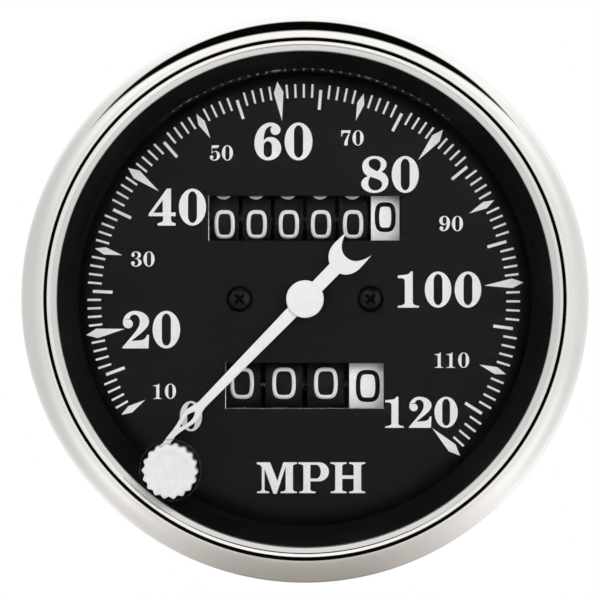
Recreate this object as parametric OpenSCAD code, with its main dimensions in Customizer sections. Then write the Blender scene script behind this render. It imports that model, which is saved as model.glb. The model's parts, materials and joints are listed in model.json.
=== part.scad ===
// Vintage in-dash speedometer: cable driven, with odometer, trip counter and trip reset knob.
// The dial faces -Y and +Z is up. The origin is the centre of the panel seat behind the bezel.
// Sub-parts are drawn in the dial frame, x right, y up and z towards the viewer, then turned to the front.

/* [Bezel and case] */
// Outside diameter of the bezel ring
bezel_d = 91.5; // [90:0.5:100]
// Height of the bezel above the panel
bezel_h = 8.9; // [8.4:0.1:12]
// Width of the rounded outer band of the bezel
band_w = 3.5; // [2.8:0.1:4]
// Radius on the inner edge of the band
band_edge = 0.3; // [0.2:0.05:0.8]
// Width of the groove inside the band
groove_w = 0.5; // [0.3:0.1:1]
// Width of the bead around the glass
bead_w = 1.5; // [1:0.1:2]
// Width of the flat land on top of the bead
bead_land = 0.7; // [0.5:0.05:0.8]
// Height of the bead above the glass
bead_h = 2.2; // [1.6:0.1:3]
// Thickness of the bezel lip behind the case flange
lip_t = 0.8; // [0.5:0.1:1.5]
// Radius on the back edge of the bezel
bezel_edge = 0.6; // [0.3:0.1:1]
// Overhang of the bezel beyond the side of the case
bezel_overhang = 3.25; // [2.9:0.05:3.6]
// Wall of the case
case_wall = 0.9; // [0.6:0.1:1.2]
// Depth of the case behind the panel
case_depth = 82; // [77:0.5:100]
// Radius of the corner at the back of the case
case_corner = 5; // [2:0.5:8]
// Overhang of the flange at the mouth of the case
flange_w = 1.8; // [1.2:0.1:2]
// Step of the case that centres the bezel under its flange
shoulder_w = 0.5; // [0.45:0.05:0.8]
// Clearance around parts that drop into the case
drop_gap = 0.15; // [0.05:0.05:0.4]

/* [Glass] */
// Thickness of the glass
lens_t = 2.2; // [1.5:0.1:3]
// Thickness of the gasket under the glass
gasket_t = 1.5; // [1:0.1:2.5]
// Diameter of the hole in the glass for the reset stem
lens_hole_d = 7; // [6:0.1:8]
// Diameter of the flange of the bush in the glass
bush_flange_d = 10; // [9:0.1:12]
// Thickness of the flange of the bush in the glass
bush_flange_t = 0.7; // [0.4:0.1:1.2]

/* [Dial] */
// Depth of the dial face behind the panel plane
dial_drop = 2.4; // [2:0.1:5]
// Thickness of the dial
dial_t = 0.8; // [0.5:0.1:1.2]
// Width of the slanted black wall between the glass opening and the dial
wall_w = 3.15; // [2.8:0.05:4]
// Hole for the pointer boss at the centre of the dial
dial_hole_d = 4; // [3.6:0.1:5]
// Height of the front bridge's top edge above the centre
bridge_up = 2.35; // [2.2:0.05:3]
// Depth of the front bridge's lower edge below the centre
bridge_down = 3.25; // [2.4:0.05:3.6]
// Width of the odometer window
odometer_window_w = 31; // [29:0.1:31.6]
// Height of the odometer window
odometer_window_h = 7.2; // [5:0.1:8]
// Width of the trip window
trip_window_w = 25.5; // [22:0.1:26]
// Height of the trip window
trip_window_h = 7.25; // [5:0.05:8]
// Distance of each dial screw from the centre
dial_screw_x = 10.6; // [8:0.1:14]
// Diameter of a dial screw head
screw_head_d = 3.6; // [3:0.1:4.4]
// Height of a dial screw head
screw_head_h = 1; // [0.6:0.1:1.2]
// Diameter of a dial screw shank
screw_d = 2; // [1.4:0.1:2.4]

/* [Pointer] */
// Direction of the pointer at rest, in degrees clockwise from up
pointer_rest = 224.3; // [220:0.1:230]
// Height of the pointer above the dial
pointer_lift = 1.8; // [1.6:0.1:2.2]
// Thickness of the pointer blade
blade_t = 0.6; // [0.4:0.1:0.8]
// Diameter of the pointer hub
hub_d = 6.3; // [6:0.1:9]
// Height of the pointer hub
hub_h = 1; // [0.7:0.1:1.4]
// Length of the pointer's tip beyond the head's widest point
tip_l = 4.9; // [3.5:0.1:5]
// Width of the blade at the hub
blade_w = 1.85; // [1.4:0.05:2.4]
// Distance of the lozenge head's widest point from the centre
head_reach = 28.1; // [26:0.1:29]
// Width of the lozenge head
head_w = 2.5; // [2.2:0.05:3]
// Width of the blade where the head starts
neck_w = 1.5; // [1.2:0.05:1.8]
// Length of the head from its start to its widest point
head_rise = 3.4; // [2.5:0.1:5]
// Length of the window in the head
head_window_l = 3.3; // [2:0.1:4]
// Width of the window in the head
head_window_w = 1.15; // [0.6:0.05:1.4]
// Distance of the tail's round end from the centre
tail_reach = 9.6; // [8:0.1:11]
// Diameter of the tail's round end
tail_d = 6; // [5:0.1:7]
// Length of the tail's horns beyond the round end's middle
horn_l = 3.1; // [2.4:0.1:3.6]
// Diameter of the notch in the tail
notch_d = 4.9; // [4:0.1:5.2]
// Distance of the notch's middle beyond the round end's middle
notch_shift = 2.5; // [2.4:0.1:3]
// Diameter of the staff
staff_d = 1.2; // [1:0.1:1.6]
// Diameter of the boss under the pointer
boss_d = 3; // [2.4:0.1:3.2]

/* [Counters] */
// Diameter of the counter drums
drum_d = 20.5; // [18:0.1:20.5]
// Gap between the dial and the drums
drum_gap = 1; // [0.6:0.1:2]
// Gap between neighbouring odometer drums
odometer_gap = 0.61; // [0.5:0.01:0.8]
// Width of an odometer drum
odometer_drum_w = 4.6; // [4.4:0.05:4.6]
// Gap between neighbouring trip drums
trip_gap = 0.8; // [0.6:0.05:1]
// Width of a trip drum
trip_drum_w = 6; // [5.4:0.1:6]
// Diameter of a drum's hub
drum_hub_d = 4; // [3.8:0.1:4.4]
// Depth of the recess in each side of a drum
recess_t = 1.3; // [1:0.1:1.5]
// Module of the ring teeth inside a drum
ring_module = 0.8; // [0.7:0.01:0.8]
// Teeth of the ring inside a drum
ring_teeth = 20; // [18:1:20]
// Diameter of the counter shafts
shaft_d = 2.4; // [2:0.1:2.6]
// Diameter of the bars that hold the carry plates
bar_d = 1.8; // [1.4:0.1:2.2]
// Gap between the drums and the bars
bar_gap = 1.25; // [1:0.05:1.8]
// Thickness of a carry plate
carry_t = 0.2; // [0.15:0.05:0.25]
// Diameter of a carry plate
carry_d = 13.4; // [12.8:0.1:13.6]
// Diameter over the teeth of a carry pinion
carry_pinion_d = 3.6; // [3:0.1:3.8]
// Distance of a carry pinion from its counter shaft
carry_reach = 4.9; // [4.7:0.1:5]

/* [Gear train] */
// Gap between the end drums of the odometer and the side plates
side_gap = 0.575; // [0.4:0.025:1]
// Thickness of the side plates
plate_t = 1; // [0.8:0.1:1.2]
// Diameter of the drive spindle in its bush
spindle_d = 5; // [4.4:0.1:5.4]
// Diameter of the drive spindle's front length
spindle_front_d = 3.2; // [2.8:0.1:3.4]
// Distance of the counter arbors behind the field cup
arbor_drop = 7.8; // [7.2:0.1:9]
// Distance of the worms from the movement base
base_gap = 7.5; // [6:0.1:9]
// Length of a worm
worm_l = 7; // [5:0.5:8]
// Module of the drive worm and its wheel
drive_module = 0.45; // [0.42:0.01:0.47]
// Pitch diameter of the drive worm
drive_worm_d = 6; // [5.6:0.1:6.2]
// Teeth of the wheel on the cross shaft
cross_teeth = 25; // [24:1:26]
// Diameter of the cross shaft
cross_shaft_d = 2; // [1.6:0.1:2.2]
// Module of the counter worms and their wheels
counter_module = 0.4; // [0.38:0.01:0.42]
// Pitch diameter of the counter worms
counter_worm_d = 4; // [3.8:0.1:4.4]
// Teeth of the wheels on the counter arbors
arbor_teeth = 40; // [38:1:41]
// Teeth of the spur gears that turn the counters
spur_teeth = 35; // [31:2:39]
// Width of the gears
gear_w = 1.8; // [1.2:0.1:2.2]
// Gap between the gears and the side plates
gear_gap = 1.1; // [0.6:0.1:2]
// Width of the worm wheels
wheel_w = 1.4; // [1:0.1:1.6]
// Play between meshing teeth
backlash = 0.24; // [0.15:0.01:0.3]

/* [Speed movement] */
// Diameter of the ring magnet
magnet_d = 15; // [13:0.1:16]
// Length of the ring magnet
magnet_l = 6; // [4:0.1:7]
// Diameter of the drag cup
drag_cup_d = 18; // [17:0.1:19]
// Wall of the drag cup
drag_cup_wall = 0.5; // [0.3:0.1:0.7]
// Depth of the drag cup
drag_cup_l = 8.4; // [6:0.1:9]
// Diameter of the field cup
field_cup_d = 23; // [22:0.1:23.4]
// Wall of the field cup
field_cup_wall = 1.2; // [0.8:0.1:1.4]
// Diameter of the hairspring
hairspring_d = 13; // [10:0.1:14]
// Turns of the hairspring
hairspring_turns = 4; // [3:1:5]
// Thickness of the hairspring strip
hairspring_t = 0.2; // [0.15:0.05:0.3]
// Height of the hairspring strip
hairspring_h = 0.9; // [0.6:0.1:1.2]
// Diameter of the hairspring collet
collet_d = 3; // [2.6:0.1:3.4]

/* [Trip reset] */
// Thickness of the crown wheel's rim
crown_l = 1.05; // [0.9:0.05:1.4]
// Distance of the reset stem below the centre
stem_y = 27.6; // [27.3:0.1:27.9]
// Diameter of the stem through the glass
stem_d = 3.8; // [3:0.1:4]
// Diameter of the stem behind the dial
stem_inner_d = 2.8; // [2.4:0.1:3]
// Diameter over the knob's teeth
knob_d = 9.1; // [8:0.1:9.4]
// Height of the knob
knob_h = 8; // [5:0.1:10]
// Gap between the knob and the bush flange
knob_gap = 0.5; // [0.3:0.1:1]
// Teeth around the knob
knob_teeth = 18; // [14:1:20]
// Diameter of one rounded knob tooth
knob_tooth_d = 1.15; // [0.8:0.05:1.3]
// Module of the stem pinion and the crown wheel
crown_module = 0.48; // [0.44:0.01:0.5]
// Teeth of the stem pinion
stem_teeth = 10; // [10:1:11]
// Teeth on the face of the crown wheel
crown_teeth = 20; // [18:1:21]
// Teeth on the rim of the crown wheel and on the trip shaft gear
reset_teeth = 28; // [24:2:32]

/* [Mounting] */
// Diameter of the threaded cable coupling
coupling_d = 15.88; // [14:0.01:18]
// Length of the coupling behind the case
coupling_l = 15; // [10:0.5:20]
// Diameter of the collar on the coupling
collar_d = 21; // [18.5:0.1:24]
// Thickness of the collar on the coupling
collar_t = 2; // [1.5:0.1:3]
// Bore of the coupling
coupling_bore_d = 10; // [9:0.1:11]
// Width of the square socket for the cable
socket_w = 2.7; // [2.6:0.05:3]
// Depth of the square socket
socket_l = 10; // [6:0.5:14]
// Diameter of the mounting studs
stud_d = 4.8; // [4:0.1:5]
// Length of the studs behind the case
stud_l = 15; // [10:0.5:25]
// Distance between the studs
stud_spacing = 54; // [52:0.5:60]
// Diameter of the body of a lamp holder
lamp_d = 9.2; // [8:0.1:9.6]
// Length of a lamp holder behind the case
lamp_l = 9; // [6:0.5:14]
// Distance of a lamp holder from the rounded corner of the case
lamp_edge = 1.9; // [1:0.1:3]
// Angle of the lamps above the middle
lamp_angle = 35; // [33:1:40]

/* [Hidden] */
$fn = 96;

// Running clearance of a shaft in its bearing
run = 0.05;
// Play at the ends of turning parts
end_play = 0.3;
// Overlap that lets a cut pass cleanly through a face
cut = 1;
// How far a shaft stands out past its last bearing
shaft_end = 0.6;
// Clearance between the drums and the frame around them
drum_clear = 0.5;

// Fasteners, bushes and bearings
case_screw_d = 3;
case_screw_head_d = 5.6;
case_screw_head_h = 1.6;
staff_bush_d = 3.4;
arbor_bush_d = 4.4;
stem_pivot_d = 2;
bulb_cap_d = 7;
hub_clear = 0.2;
case_screw_l = 8;
thread_relief = 0.5;
coupling_neck_d = coupling_d - 1.2;
stud_neck_d = stud_d - 0.8;
pivot_l = 2;

// Levels along the dial axis
flange_top = lip_t + case_wall;
lens_back = flange_top + gasket_t;
lens_front = lens_back + lens_t;
dial_front = -dial_drop;
dial_back = dial_front - dial_t;
drum_z = dial_back - drum_gap - drum_d / 2;
bridge_t = 3;
bridge_back = dial_back - bridge_t;
back_in = case_wall - case_depth;
back_out = -case_depth;

// Radii of the housing
bezel_r = bezel_d / 2;
case_r = bezel_r - bezel_overhang;
case_in_r = case_r - case_wall;
flange_r = case_r + flange_w;
shoulder_r = case_r + shoulder_w;
opening_r = bezel_r - band_w - groove_w - bead_w;
drop_r = case_in_r - drop_gap;
lamp_reach = case_r - case_corner - lamp_d / 2 - lamp_edge;

// Places of the counters
odometer_y = drum_d / 2 + drum_clear + bridge_up;
trip_y = drum_d / 2 + drum_clear + bridge_down;
odometer_pitch = odometer_drum_w + odometer_gap;
trip_pitch = trip_drum_w + trip_gap;
bar_reach = drum_d / 2 + bar_d / 2 + bar_gap;
plate_gap = 5 * odometer_pitch + odometer_drum_w + 2 * side_gap;

// Places in the movement, taken from the drums backwards
spring_bridge_t = 1.5;
spring_bridge_z = drum_z - drum_d / 2 - drum_clear;
spring_gap = 0.8;
hairspring_z = spring_bridge_z - spring_bridge_t - spring_gap;
collet_rim = 0.3;
cup_gap = 1.2;
drag_cup_z = hairspring_z - hairspring_h - cup_gap;
magnet_gap = 1.6;
magnet_z = drag_cup_z - drag_cup_wall - magnet_gap;
field_cup_drop = 1;
field_cup_z = drag_cup_z - field_cup_drop;
field_cup_l = drag_cup_l + field_cup_wall + 2 * field_cup_drop;
spindle_top = magnet_z + shaft_end;

// Places of the gear train
arbor_z = field_cup_z - field_cup_l - arbor_drop;
worm_z = arbor_z - counter_worm_d / 2 - arbor_teeth * counter_module / 2;
cross_x = drive_worm_d / 2 + cross_teeth * drive_module / 2;
base_t = 2;
base_z = worm_z - base_gap;
shoulder_lift = 1;
shoulder_z = base_z + shoulder_lift;
spur_module = (drum_z - arbor_z) / (2 * spur_teeth);
idler_z = (drum_z + arbor_z) / 2;
plate_x = plate_gap / 2;
plate_out = plate_x + plate_t;
gear_x = plate_out + gear_gap;
arbor_d = 2.4;
counter_ys = [odometer_y, -trip_y];
bar_shift = bar_reach * sin(45);
post_w = 2.4;
post_l = 5;
post_top = 3;
post_reach = 7.1;
post_ys = [odometer_y + post_reach, -trip_y - post_reach];
base_screw_x = 15;
base_screw_y = 18;

// Outline of a side plate, as [y, z]: a tongue under the bridge, shoulders at the drums, a foot on the base
plate_shoulder = 4;
bar_land = 3;
plate_waist = 9;
shoulder_top = drum_z + plate_shoulder;
bar_z = drum_z - bar_shift;
odometer_bar_y = odometer_y + bar_shift;
trip_bar_y = -trip_y - bar_shift;
bars = [[odometer_bar_y, bar_z], [trip_bar_y, bar_z]];
plate_outline = [
    [-bridge_down, bridge_back], [bridge_up, bridge_back],
    [odometer_y - plate_shoulder, shoulder_top], [odometer_y + plate_shoulder, shoulder_top],
    [odometer_bar_y + bar_land, bar_z + bar_land], [odometer_bar_y + bar_land, bar_z - bar_land],
    [odometer_y + plate_shoulder, bar_z - plate_waist], [odometer_y + plate_shoulder, base_z],
    [-trip_y - plate_shoulder, base_z], [-trip_y - plate_shoulder, bar_z - plate_waist],
    [trip_bar_y - bar_land, bar_z - bar_land], [trip_bar_y - bar_land, bar_z + bar_land],
    [-trip_y - plate_shoulder, shoulder_top], [-trip_y + plate_shoulder, shoulder_top]
];

// Places of the trip reset
stem_pitch_r = stem_teeth * crown_module / 2;
crown_r = crown_teeth * crown_module / 2;
crown_root = 1.35 * crown_module;
reset_module = (stem_y - trip_y) / reset_teeth;
reset_gap = 0.7;
reset_gear_x = -plate_out - reset_gap;
crown_root_x = reset_gear_x - crown_l;
stem_x = stem_pitch_r + crown_root - crown_root_x;
crown_tooth_h = 1.9 * crown_module;
knob_z = lens_front + bush_flange_t + knob_gap;
knob_roof = 2;
stem_top = knob_z + knob_h - knob_roof;
tab_drop = 4.6;
tab_z = drum_z - crown_r - tab_drop;
tab_t = 1.2;

// Points on an arc about a centre
function arc(x, y, r, from, to, steps) = [for (i = [0 : steps])
    let (a = from + (to - from) * i / steps) [x + r * cos(a), y + r * sin(a)]];

// Outline of a gear with straight-flanked teeth, one tooth centred on the x axis
function gear_points(teeth, m) = [
    for (i = [0 : teeth - 1], k = [[-1, -1.15], [-1, 0.9], [1, 0.9], [1, -1.15]])
        let (r = m * (teeth / 2 + k[1]),
             half = (PI * m / 2 - backlash / 2) / 2 - k[1] * m * tan(20),
             a = 360 * i / teeth + k[0] * half / r * 180 / PI)
        [r * cos(a), r * sin(a)]
];

// Radius of a one-start thread at an angle from its crest
function thread_r(m, d, a) =
    let (half = (PI * m / 2 - backlash / 2) / 2,
         u = (abs(a) / 360 * PI * m - half) / tan(20))
    d / 2 - min(max(u, -0.9 * m), 1.15 * m);

// Outline of the knob, with a round tooth at each step around its core
function knob_points(core_r, tooth_r) = [
    for (i = [0 : knob_teeth - 1])
        let (a = 360 * i / knob_teeth)
        each arc(core_r * cos(a), core_r * sin(a), tooth_r, a - 90, a + 90, 6)
];

// Outline points given as [y, z] turned for an extrusion along x
function upright(points) = [for (p = points) [-p[1], p[0]]];

// Turns a sub-part from the dial frame to the part frame
module face_front() {
    rotate([90, 0, 0]) children();
}

// Turns the z axis of a shape to x
module along_x() {
    rotate([0, 90, 0]) children();
}

// Turns the z axis of a shape to y
module along_y() {
    rotate([-90, 0, 0]) children();
}

// A ring of rectangular section
module tube(outer_r, inner_r, h) {
    difference() {
        cylinder(r = outer_r, h = h);
        translate([0, 0, -cut]) cylinder(r = inner_r, h = h + 2 * cut);
    }
}

// A spur gear with a bore
module gear(teeth, m, w, bore_r) {
    difference() {
        linear_extrude(w) polygon(gear_points(teeth, m));
        translate([0, 0, -cut]) cylinder(r = bore_r, h = w + 2 * cut);
    }
}

// A one-start right-hand worm centred on its middle, crest towards x there, with a bore
module worm(m, d, bore_r) {
    lead = PI * m;
    angles = [-32, 0, 32, 72, 112, 148, 180, 212, 248, 288];
    outline = [for (a = angles) let (near = a > 180 ? a - 360 : a) thread_r(m, d, near) * [cos(a), sin(a)]];
    difference() {
        rotate([0, 0, -180 * worm_l / lead])
            translate([0, 0, -worm_l / 2])
            linear_extrude(worm_l, twist = -360 * worm_l / lead, slices = ceil(14 * worm_l / lead), $fn = 10)
            polygon(outline);
        translate([0, 0, -worm_l / 2 - cut]) cylinder(r = bore_r, h = worm_l + 2 * cut);
    }
}

// Places children at both lamps
module at_lamps() {
    for (side = [0, 1])
        mirror([side, 0, 0])
        translate([lamp_reach * cos(lamp_angle), lamp_reach * sin(lamp_angle), 0]) children();
}

// Places children at the four corners of the movement base
module at_base_corners() {
    for (x = [-1, 1], y = [-1, 1]) translate([x * base_screw_x, y * base_screw_y, 0]) children();
}

// Bezel section: lip behind the flange, round outer band, groove and a bead that slopes in to the glass
module bezel_ring() {
    band_r = band_w - band_edge;
    bead_top = lens_front + bead_h;
    bead_edge = 0.2;
    slope = 50;
    edge_r = opening_r + bead_w - bead_edge;
    land_r = opening_r + bead_w - bead_land;
    slope_r = land_r - bead_edge * sin(slope);
    slope_z = bead_top - bead_edge * (1 - cos(slope));
    slope_end = slope_z - (slope_r - opening_r) * tan(slope);
    groove_z = bead_top - bead_w / 2 - groove_w;
    seat_r = flange_r + drop_gap;
    lip_r = shoulder_r + drop_gap;
    color("silver") face_front() rotate_extrude($fn = 180) polygon(concat(
        [[lip_r, 0]],
        arc(bezel_r - bezel_edge, bezel_edge, bezel_edge, -90, 0, 6),
        arc(bezel_r - band_r, bezel_h - band_r, band_r, 0, 90, 16),
        arc(bezel_r - band_w + band_edge, bezel_h - band_edge, band_edge, 90, 180, 4),
        [[bezel_r - band_w, groove_z], [opening_r + bead_w, groove_z]],
        arc(edge_r, bead_top - bead_edge, bead_edge, 0, 90, 5),
        arc(land_r, bead_top - bead_edge, bead_edge, 90, 90 + slope, 4),
        [[opening_r, slope_end], [opening_r, lens_front]],
        [[seat_r, lens_front], [seat_r, lip_t], [lip_r, lip_t]]));
}

// Deep-drawn can with a flange at its mouth and a rounded back
module case_can() {
    color("dimgray") face_front() difference() {
        rotate_extrude($fn = 180) polygon(concat(
            [[case_in_r, flange_top], [flange_r, flange_top], [flange_r, lip_t]],
            [[shoulder_r, lip_t], [shoulder_r, 0], [case_r, 0]],
            arc(case_r - case_corner, back_out + case_corner, case_corner, 0, -90, 10),
            [[0, back_out], [0, back_in]],
            arc(case_r - case_corner, back_out + case_corner, case_corner - case_wall, -90, 0, 10)));
        translate([0, 0, back_out - cut]) {
            cylinder(d = coupling_neck_d + 2 * run, h = case_wall + 2 * cut);
            for (x = [-1, 1])
                translate([x * stud_spacing / 2, 0, 0])
                cylinder(d = stud_neck_d + 2 * run, h = case_wall + 2 * cut);
            at_lamps() cylinder(d = lamp_d + 2 * run, h = case_wall + 2 * cut);
            at_base_corners() cylinder(d = case_screw_d + 2 * run, h = case_wall + 2 * cut);
        }
    }
}

module lens_glass() {
    color("aliceblue", 0.3) face_front() translate([0, 0, lens_back]) difference() {
        cylinder(r = flange_r, h = lens_t, $fn = 180);
        translate([-stem_x, -stem_y, -cut]) cylinder(d = lens_hole_d + 2 * run, h = lens_t + 2 * cut);
    }
}

module lens_gasket() {
    color("black") face_front() translate([0, 0, flange_top])
        tube(flange_r, case_in_r + drop_gap, gasket_t, $fn = 180);
}

// Clear flanged sleeve in the glass that guides the reset stem
module lens_bush() {
    color("aliceblue", 0.5) face_front() translate([-stem_x, -stem_y, lens_back]) difference() {
        union() {
            cylinder(d = lens_hole_d, h = lens_t);
            translate([0, 0, lens_t]) cylinder(d = bush_flange_d, h = bush_flange_t);
        }
        translate([0, 0, -cut]) cylinder(d = stem_d + 2 * run, h = lens_t + bush_flange_t + 2 * cut);
    }
}

// Black ring whose slanted wall leads from the bezel opening down to the dial
module spacer_ring() {
    color("black") face_front() rotate_extrude($fn = 180) polygon([
        [opening_r - wall_w, dial_front], [drop_r, dial_front],
        [drop_r, lens_back], [opening_r - drop_gap, lens_back]]);
}

module dial_plate() {
    color([0.12, 0.12, 0.12]) face_front() translate([0, 0, dial_back]) difference() {
        cylinder(r = drop_r, h = dial_t, $fn = 180);
        translate([0, 0, -cut]) {
            cylinder(d = dial_hole_d, h = dial_t + 2 * cut);
            translate([-odometer_window_w / 2, odometer_y - odometer_window_h / 2, 0])
                cube([odometer_window_w, odometer_window_h, dial_t + 2 * cut]);
            translate([-trip_window_w / 2, -trip_y - trip_window_h / 2, 0])
                cube([trip_window_w, trip_window_h, dial_t + 2 * cut]);
            translate([-stem_x, -stem_y, 0]) cylinder(d = stem_d + 2 * end_play, h = dial_t + 2 * cut);
            for (x = [-1, 1])
                translate([x * dial_screw_x, 0, 0]) cylinder(d = screw_d + 2 * run, h = dial_t + 2 * cut);
        }
    }
}

// Cross-recess screws that hold the dial to the front bridge
module dial_screws() {
    recess_w = screw_head_d / 6;
    color("black") face_front() for (x = [-1, 1]) translate([x * dial_screw_x, 0, dial_front]) difference() {
        union() {
            cylinder(d = screw_head_d, h = screw_head_h);
            translate([0, 0, -dial_t - bridge_t])
                cylinder(d = screw_d, h = dial_t + bridge_t + screw_head_h / 2);
        }
        for (turn = [0, 90]) rotate([0, 0, turn])
            translate([-screw_head_d / 3, -recess_w / 2, screw_head_h / 2])
            cube([screw_head_d * 2 / 3, recess_w, screw_head_h]);
    }
}

// Bar across the side plates that carries the dial and the front bush
module front_bridge() {
    overhang = 1;
    bar_l = 2 * (plate_out + overhang);
    color("darkgray") face_front() difference() {
        translate([-bar_l / 2, -bridge_down, bridge_back]) cube([bar_l, bridge_up + bridge_down, bridge_t]);
        translate([0, 0, bridge_back - cut]) {
            cylinder(d = staff_bush_d, h = bridge_t + 2 * cut);
            for (x = [-1, 1])
                translate([x * dial_screw_x, 0, 0]) cylinder(d = screw_d, h = bridge_t + 2 * cut);
        }
    }
}

module staff_bush() {
    color("goldenrod") face_front() translate([0, 0, bridge_back])
        tube(staff_bush_d / 2, staff_d / 2 + run, bridge_t);
}

// Bar behind the drums that guides the staff and anchors the hairspring
module spring_bridge() {
    bar_w = 5;
    anchor_d = 1.2;
    anchor_x = (hairspring_d + hairspring_t + anchor_d) / 2 + 2 * run;
    low = spring_bridge_z - spring_bridge_t;
    anchor_low = hairspring_z - hairspring_h;
    color("darkgray") face_front() difference() {
        union() {
            translate([-plate_x, -bar_w / 2, low]) cube([plate_gap, bar_w, spring_bridge_t]);
            translate([anchor_x, 0, anchor_low])
                cylinder(d = anchor_d, h = low + spring_bridge_t / 2 - anchor_low);
        }
        translate([0, 0, low - cut])
            cylinder(d = staff_d + 2 * run, h = spring_bridge_t + 2 * cut);
    }
}

// A side plate blank between two x places with its shaft and bar holes
module side_plate(x) {
    difference() {
        translate([x, 0, 0]) along_x() linear_extrude(plate_t) polygon(upright(plate_outline));
        for (y = counter_ys) translate([x - cut, y, drum_z])
            along_x() cylinder(d = shaft_d + 2 * run, h = plate_t + 2 * cut);
        for (bar = bars) translate([x - cut, bar[0], bar[1]])
            along_x() cylinder(d = bar_d, h = plate_t + 2 * cut);
    }
}

// Left plate with the crown wheel's post and a bent tab that carries the reset stem's end
module side_plate_left() {
    ear_w = 4;
    post_x = crown_root_x + 2 * run;
    color("gainsboro") face_front() difference() {
        union() {
            side_plate(-plate_out);
            translate([-plate_out, 0, 0]) along_x() linear_extrude(plate_t) polygon(upright([
                [-trip_y - plate_shoulder / 2, shoulder_top], [-stem_y - ear_w, shoulder_top],
                [-stem_y - ear_w, tab_z - tab_t], [trip_bar_y, tab_z - tab_t]]));
            translate([-stem_x - ear_w, -stem_y - ear_w, tab_z - tab_t])
                cube([stem_x + ear_w - plate_x, 2 * ear_w, tab_t]);
            translate([post_x, -stem_y, drum_z]) along_x() cylinder(d = arbor_d, h = -plate_x - post_x);
        }
        translate([-stem_x, -stem_y, tab_z - tab_t - cut])
            cylinder(d = stem_pivot_d + 2 * run, h = tab_t + 2 * cut);
        translate([-plate_out - cut, -trip_y, drum_z])
            along_x() cylinder(d = shaft_d + 2 * run, h = plate_t + 2 * cut);
        translate([-plate_out - cut, trip_bar_y, bar_z]) along_x() cylinder(d = bar_d, h = plate_t + 2 * cut);
    }
}

// Right plate with holes for the arbor bushes and idler posts
module side_plate_right() {
    color("gainsboro") face_front() difference() {
        side_plate(plate_x);
        for (y = counter_ys) {
            translate([plate_x - cut, y, arbor_z])
                along_x() cylinder(d = arbor_bush_d, h = plate_t + 2 * cut);
            translate([plate_x - cut, y, idler_z])
                along_x() cylinder(d = arbor_d, h = plate_t + 2 * cut);
        }
    }
}

// Bushes for the counter arbors and posts for the idlers, pressed into the right plate
module train_posts() {
    bush_from = cross_x + wheel_w / 2 + end_play;
    color("goldenrod") face_front() for (y = counter_ys) {
        translate([bush_from, y, arbor_z]) along_x()
            tube(arbor_bush_d / 2, arbor_d / 2 + run, gear_x - end_play - bush_from);
        translate([plate_x, y, idler_z])
            along_x() cylinder(d = arbor_d, h = gear_x + gear_w + shaft_end - plate_x);
    }
}

// Cast base with four legs to the case and two posts for the cross shaft
module movement_base() {
    base_margin = 4.1;
    base_w = 2 * (plate_out + base_margin);
    base_h = 2 * (max(odometer_y, trip_y) + post_reach + post_w);
    leg_d = 6.4;
    color("darkgray") face_front() difference() {
        union() {
            translate([-base_w / 2, -base_h / 2, base_z - base_t]) cube([base_w, base_h, base_t]);
            translate([0, 0, back_in]) at_base_corners()
                cylinder(d = leg_d, h = base_z - base_t / 2 - back_in);
            for (y = post_ys) translate([cross_x - post_l / 2, y - post_w / 2, base_z - base_t / 2])
                cube([post_l, post_w, worm_z + post_top - base_z + base_t / 2]);
        }
        translate([0, 0, base_z - base_t - cut])
            cylinder(d = coupling_bore_d + 2 * end_play, h = base_t + 2 * cut);
        translate([0, 0, back_in - cut]) at_base_corners()
            cylinder(d = case_screw_d, h = case_screw_l + 2 * cut);
        translate([cross_x, 0, worm_z]) along_y()
            cylinder(d = cross_shaft_d + 2 * run, h = base_h + 2 * cut, center = true);
    }
}

// Screws through the back of the case into the legs of the base
module case_screws() {
    slot_w = 0.8;
    color("silver") face_front() at_base_corners() difference() {
        union() {
            translate([0, 0, back_out - case_screw_head_h])
                cylinder(d = case_screw_head_d, h = case_screw_head_h);
            translate([0, 0, back_out - case_screw_head_h / 2])
                cylinder(d = case_screw_d, h = case_screw_head_h / 2 + case_wall + case_screw_l);
        }
        translate([-case_screw_head_d, -slot_w / 2, back_out - case_screw_head_h - cut])
            cube([2 * case_screw_head_d, slot_w, case_screw_head_h / 2 + cut]);
    }
}

// Places children at each gap between drums, with x along the shaft and the shaft on the z axis of the row
module at_gaps() {
    for (i = [-2 : 2]) translate([i * odometer_pitch, odometer_y, drum_z]) rotate([-135, 0, 0]) children();
    for (i = [-1 : 1]) translate([i * trip_pitch, -trip_y, drum_z]) rotate([135, 0, 0]) children();
}

// Bars between the side plates that keep the carry plates from turning
module carry_bars() {
    color("silver") face_front() for (bar = bars) translate([-plate_out, bar[0], bar[1]])
        along_x() cylinder(d = bar_d, h = 2 * plate_out);
}

// Thin plates between the drums, each with a tail on its bar and a hole for a carry pinion
module carry_plates() {
    waist_d = carry_pinion_d / 2;
    tail_w = bar_d + 2;
    color("silver") face_front() at_gaps() translate([-carry_t / 2, 0, 0]) difference() {
        union() {
            along_x() cylinder(d = carry_d, h = carry_t);
            translate([0, -tail_w / 2, 0]) cube([carry_t, tail_w, bar_reach]);
            translate([0, 0, bar_reach]) along_x() cylinder(d = tail_w, h = carry_t);
        }
        translate([-cut, 0, 0]) along_x() cylinder(d = drum_hub_d + 2 * hub_clear, h = carry_t + 2 * cut);
        translate([-cut, 0, bar_reach]) along_x() cylinder(d = bar_d, h = carry_t + 2 * cut);
        translate([-cut, 0, -carry_reach]) along_x() cylinder(d = waist_d + 2 * run, h = carry_t + 2 * cut);
    }
}

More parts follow.
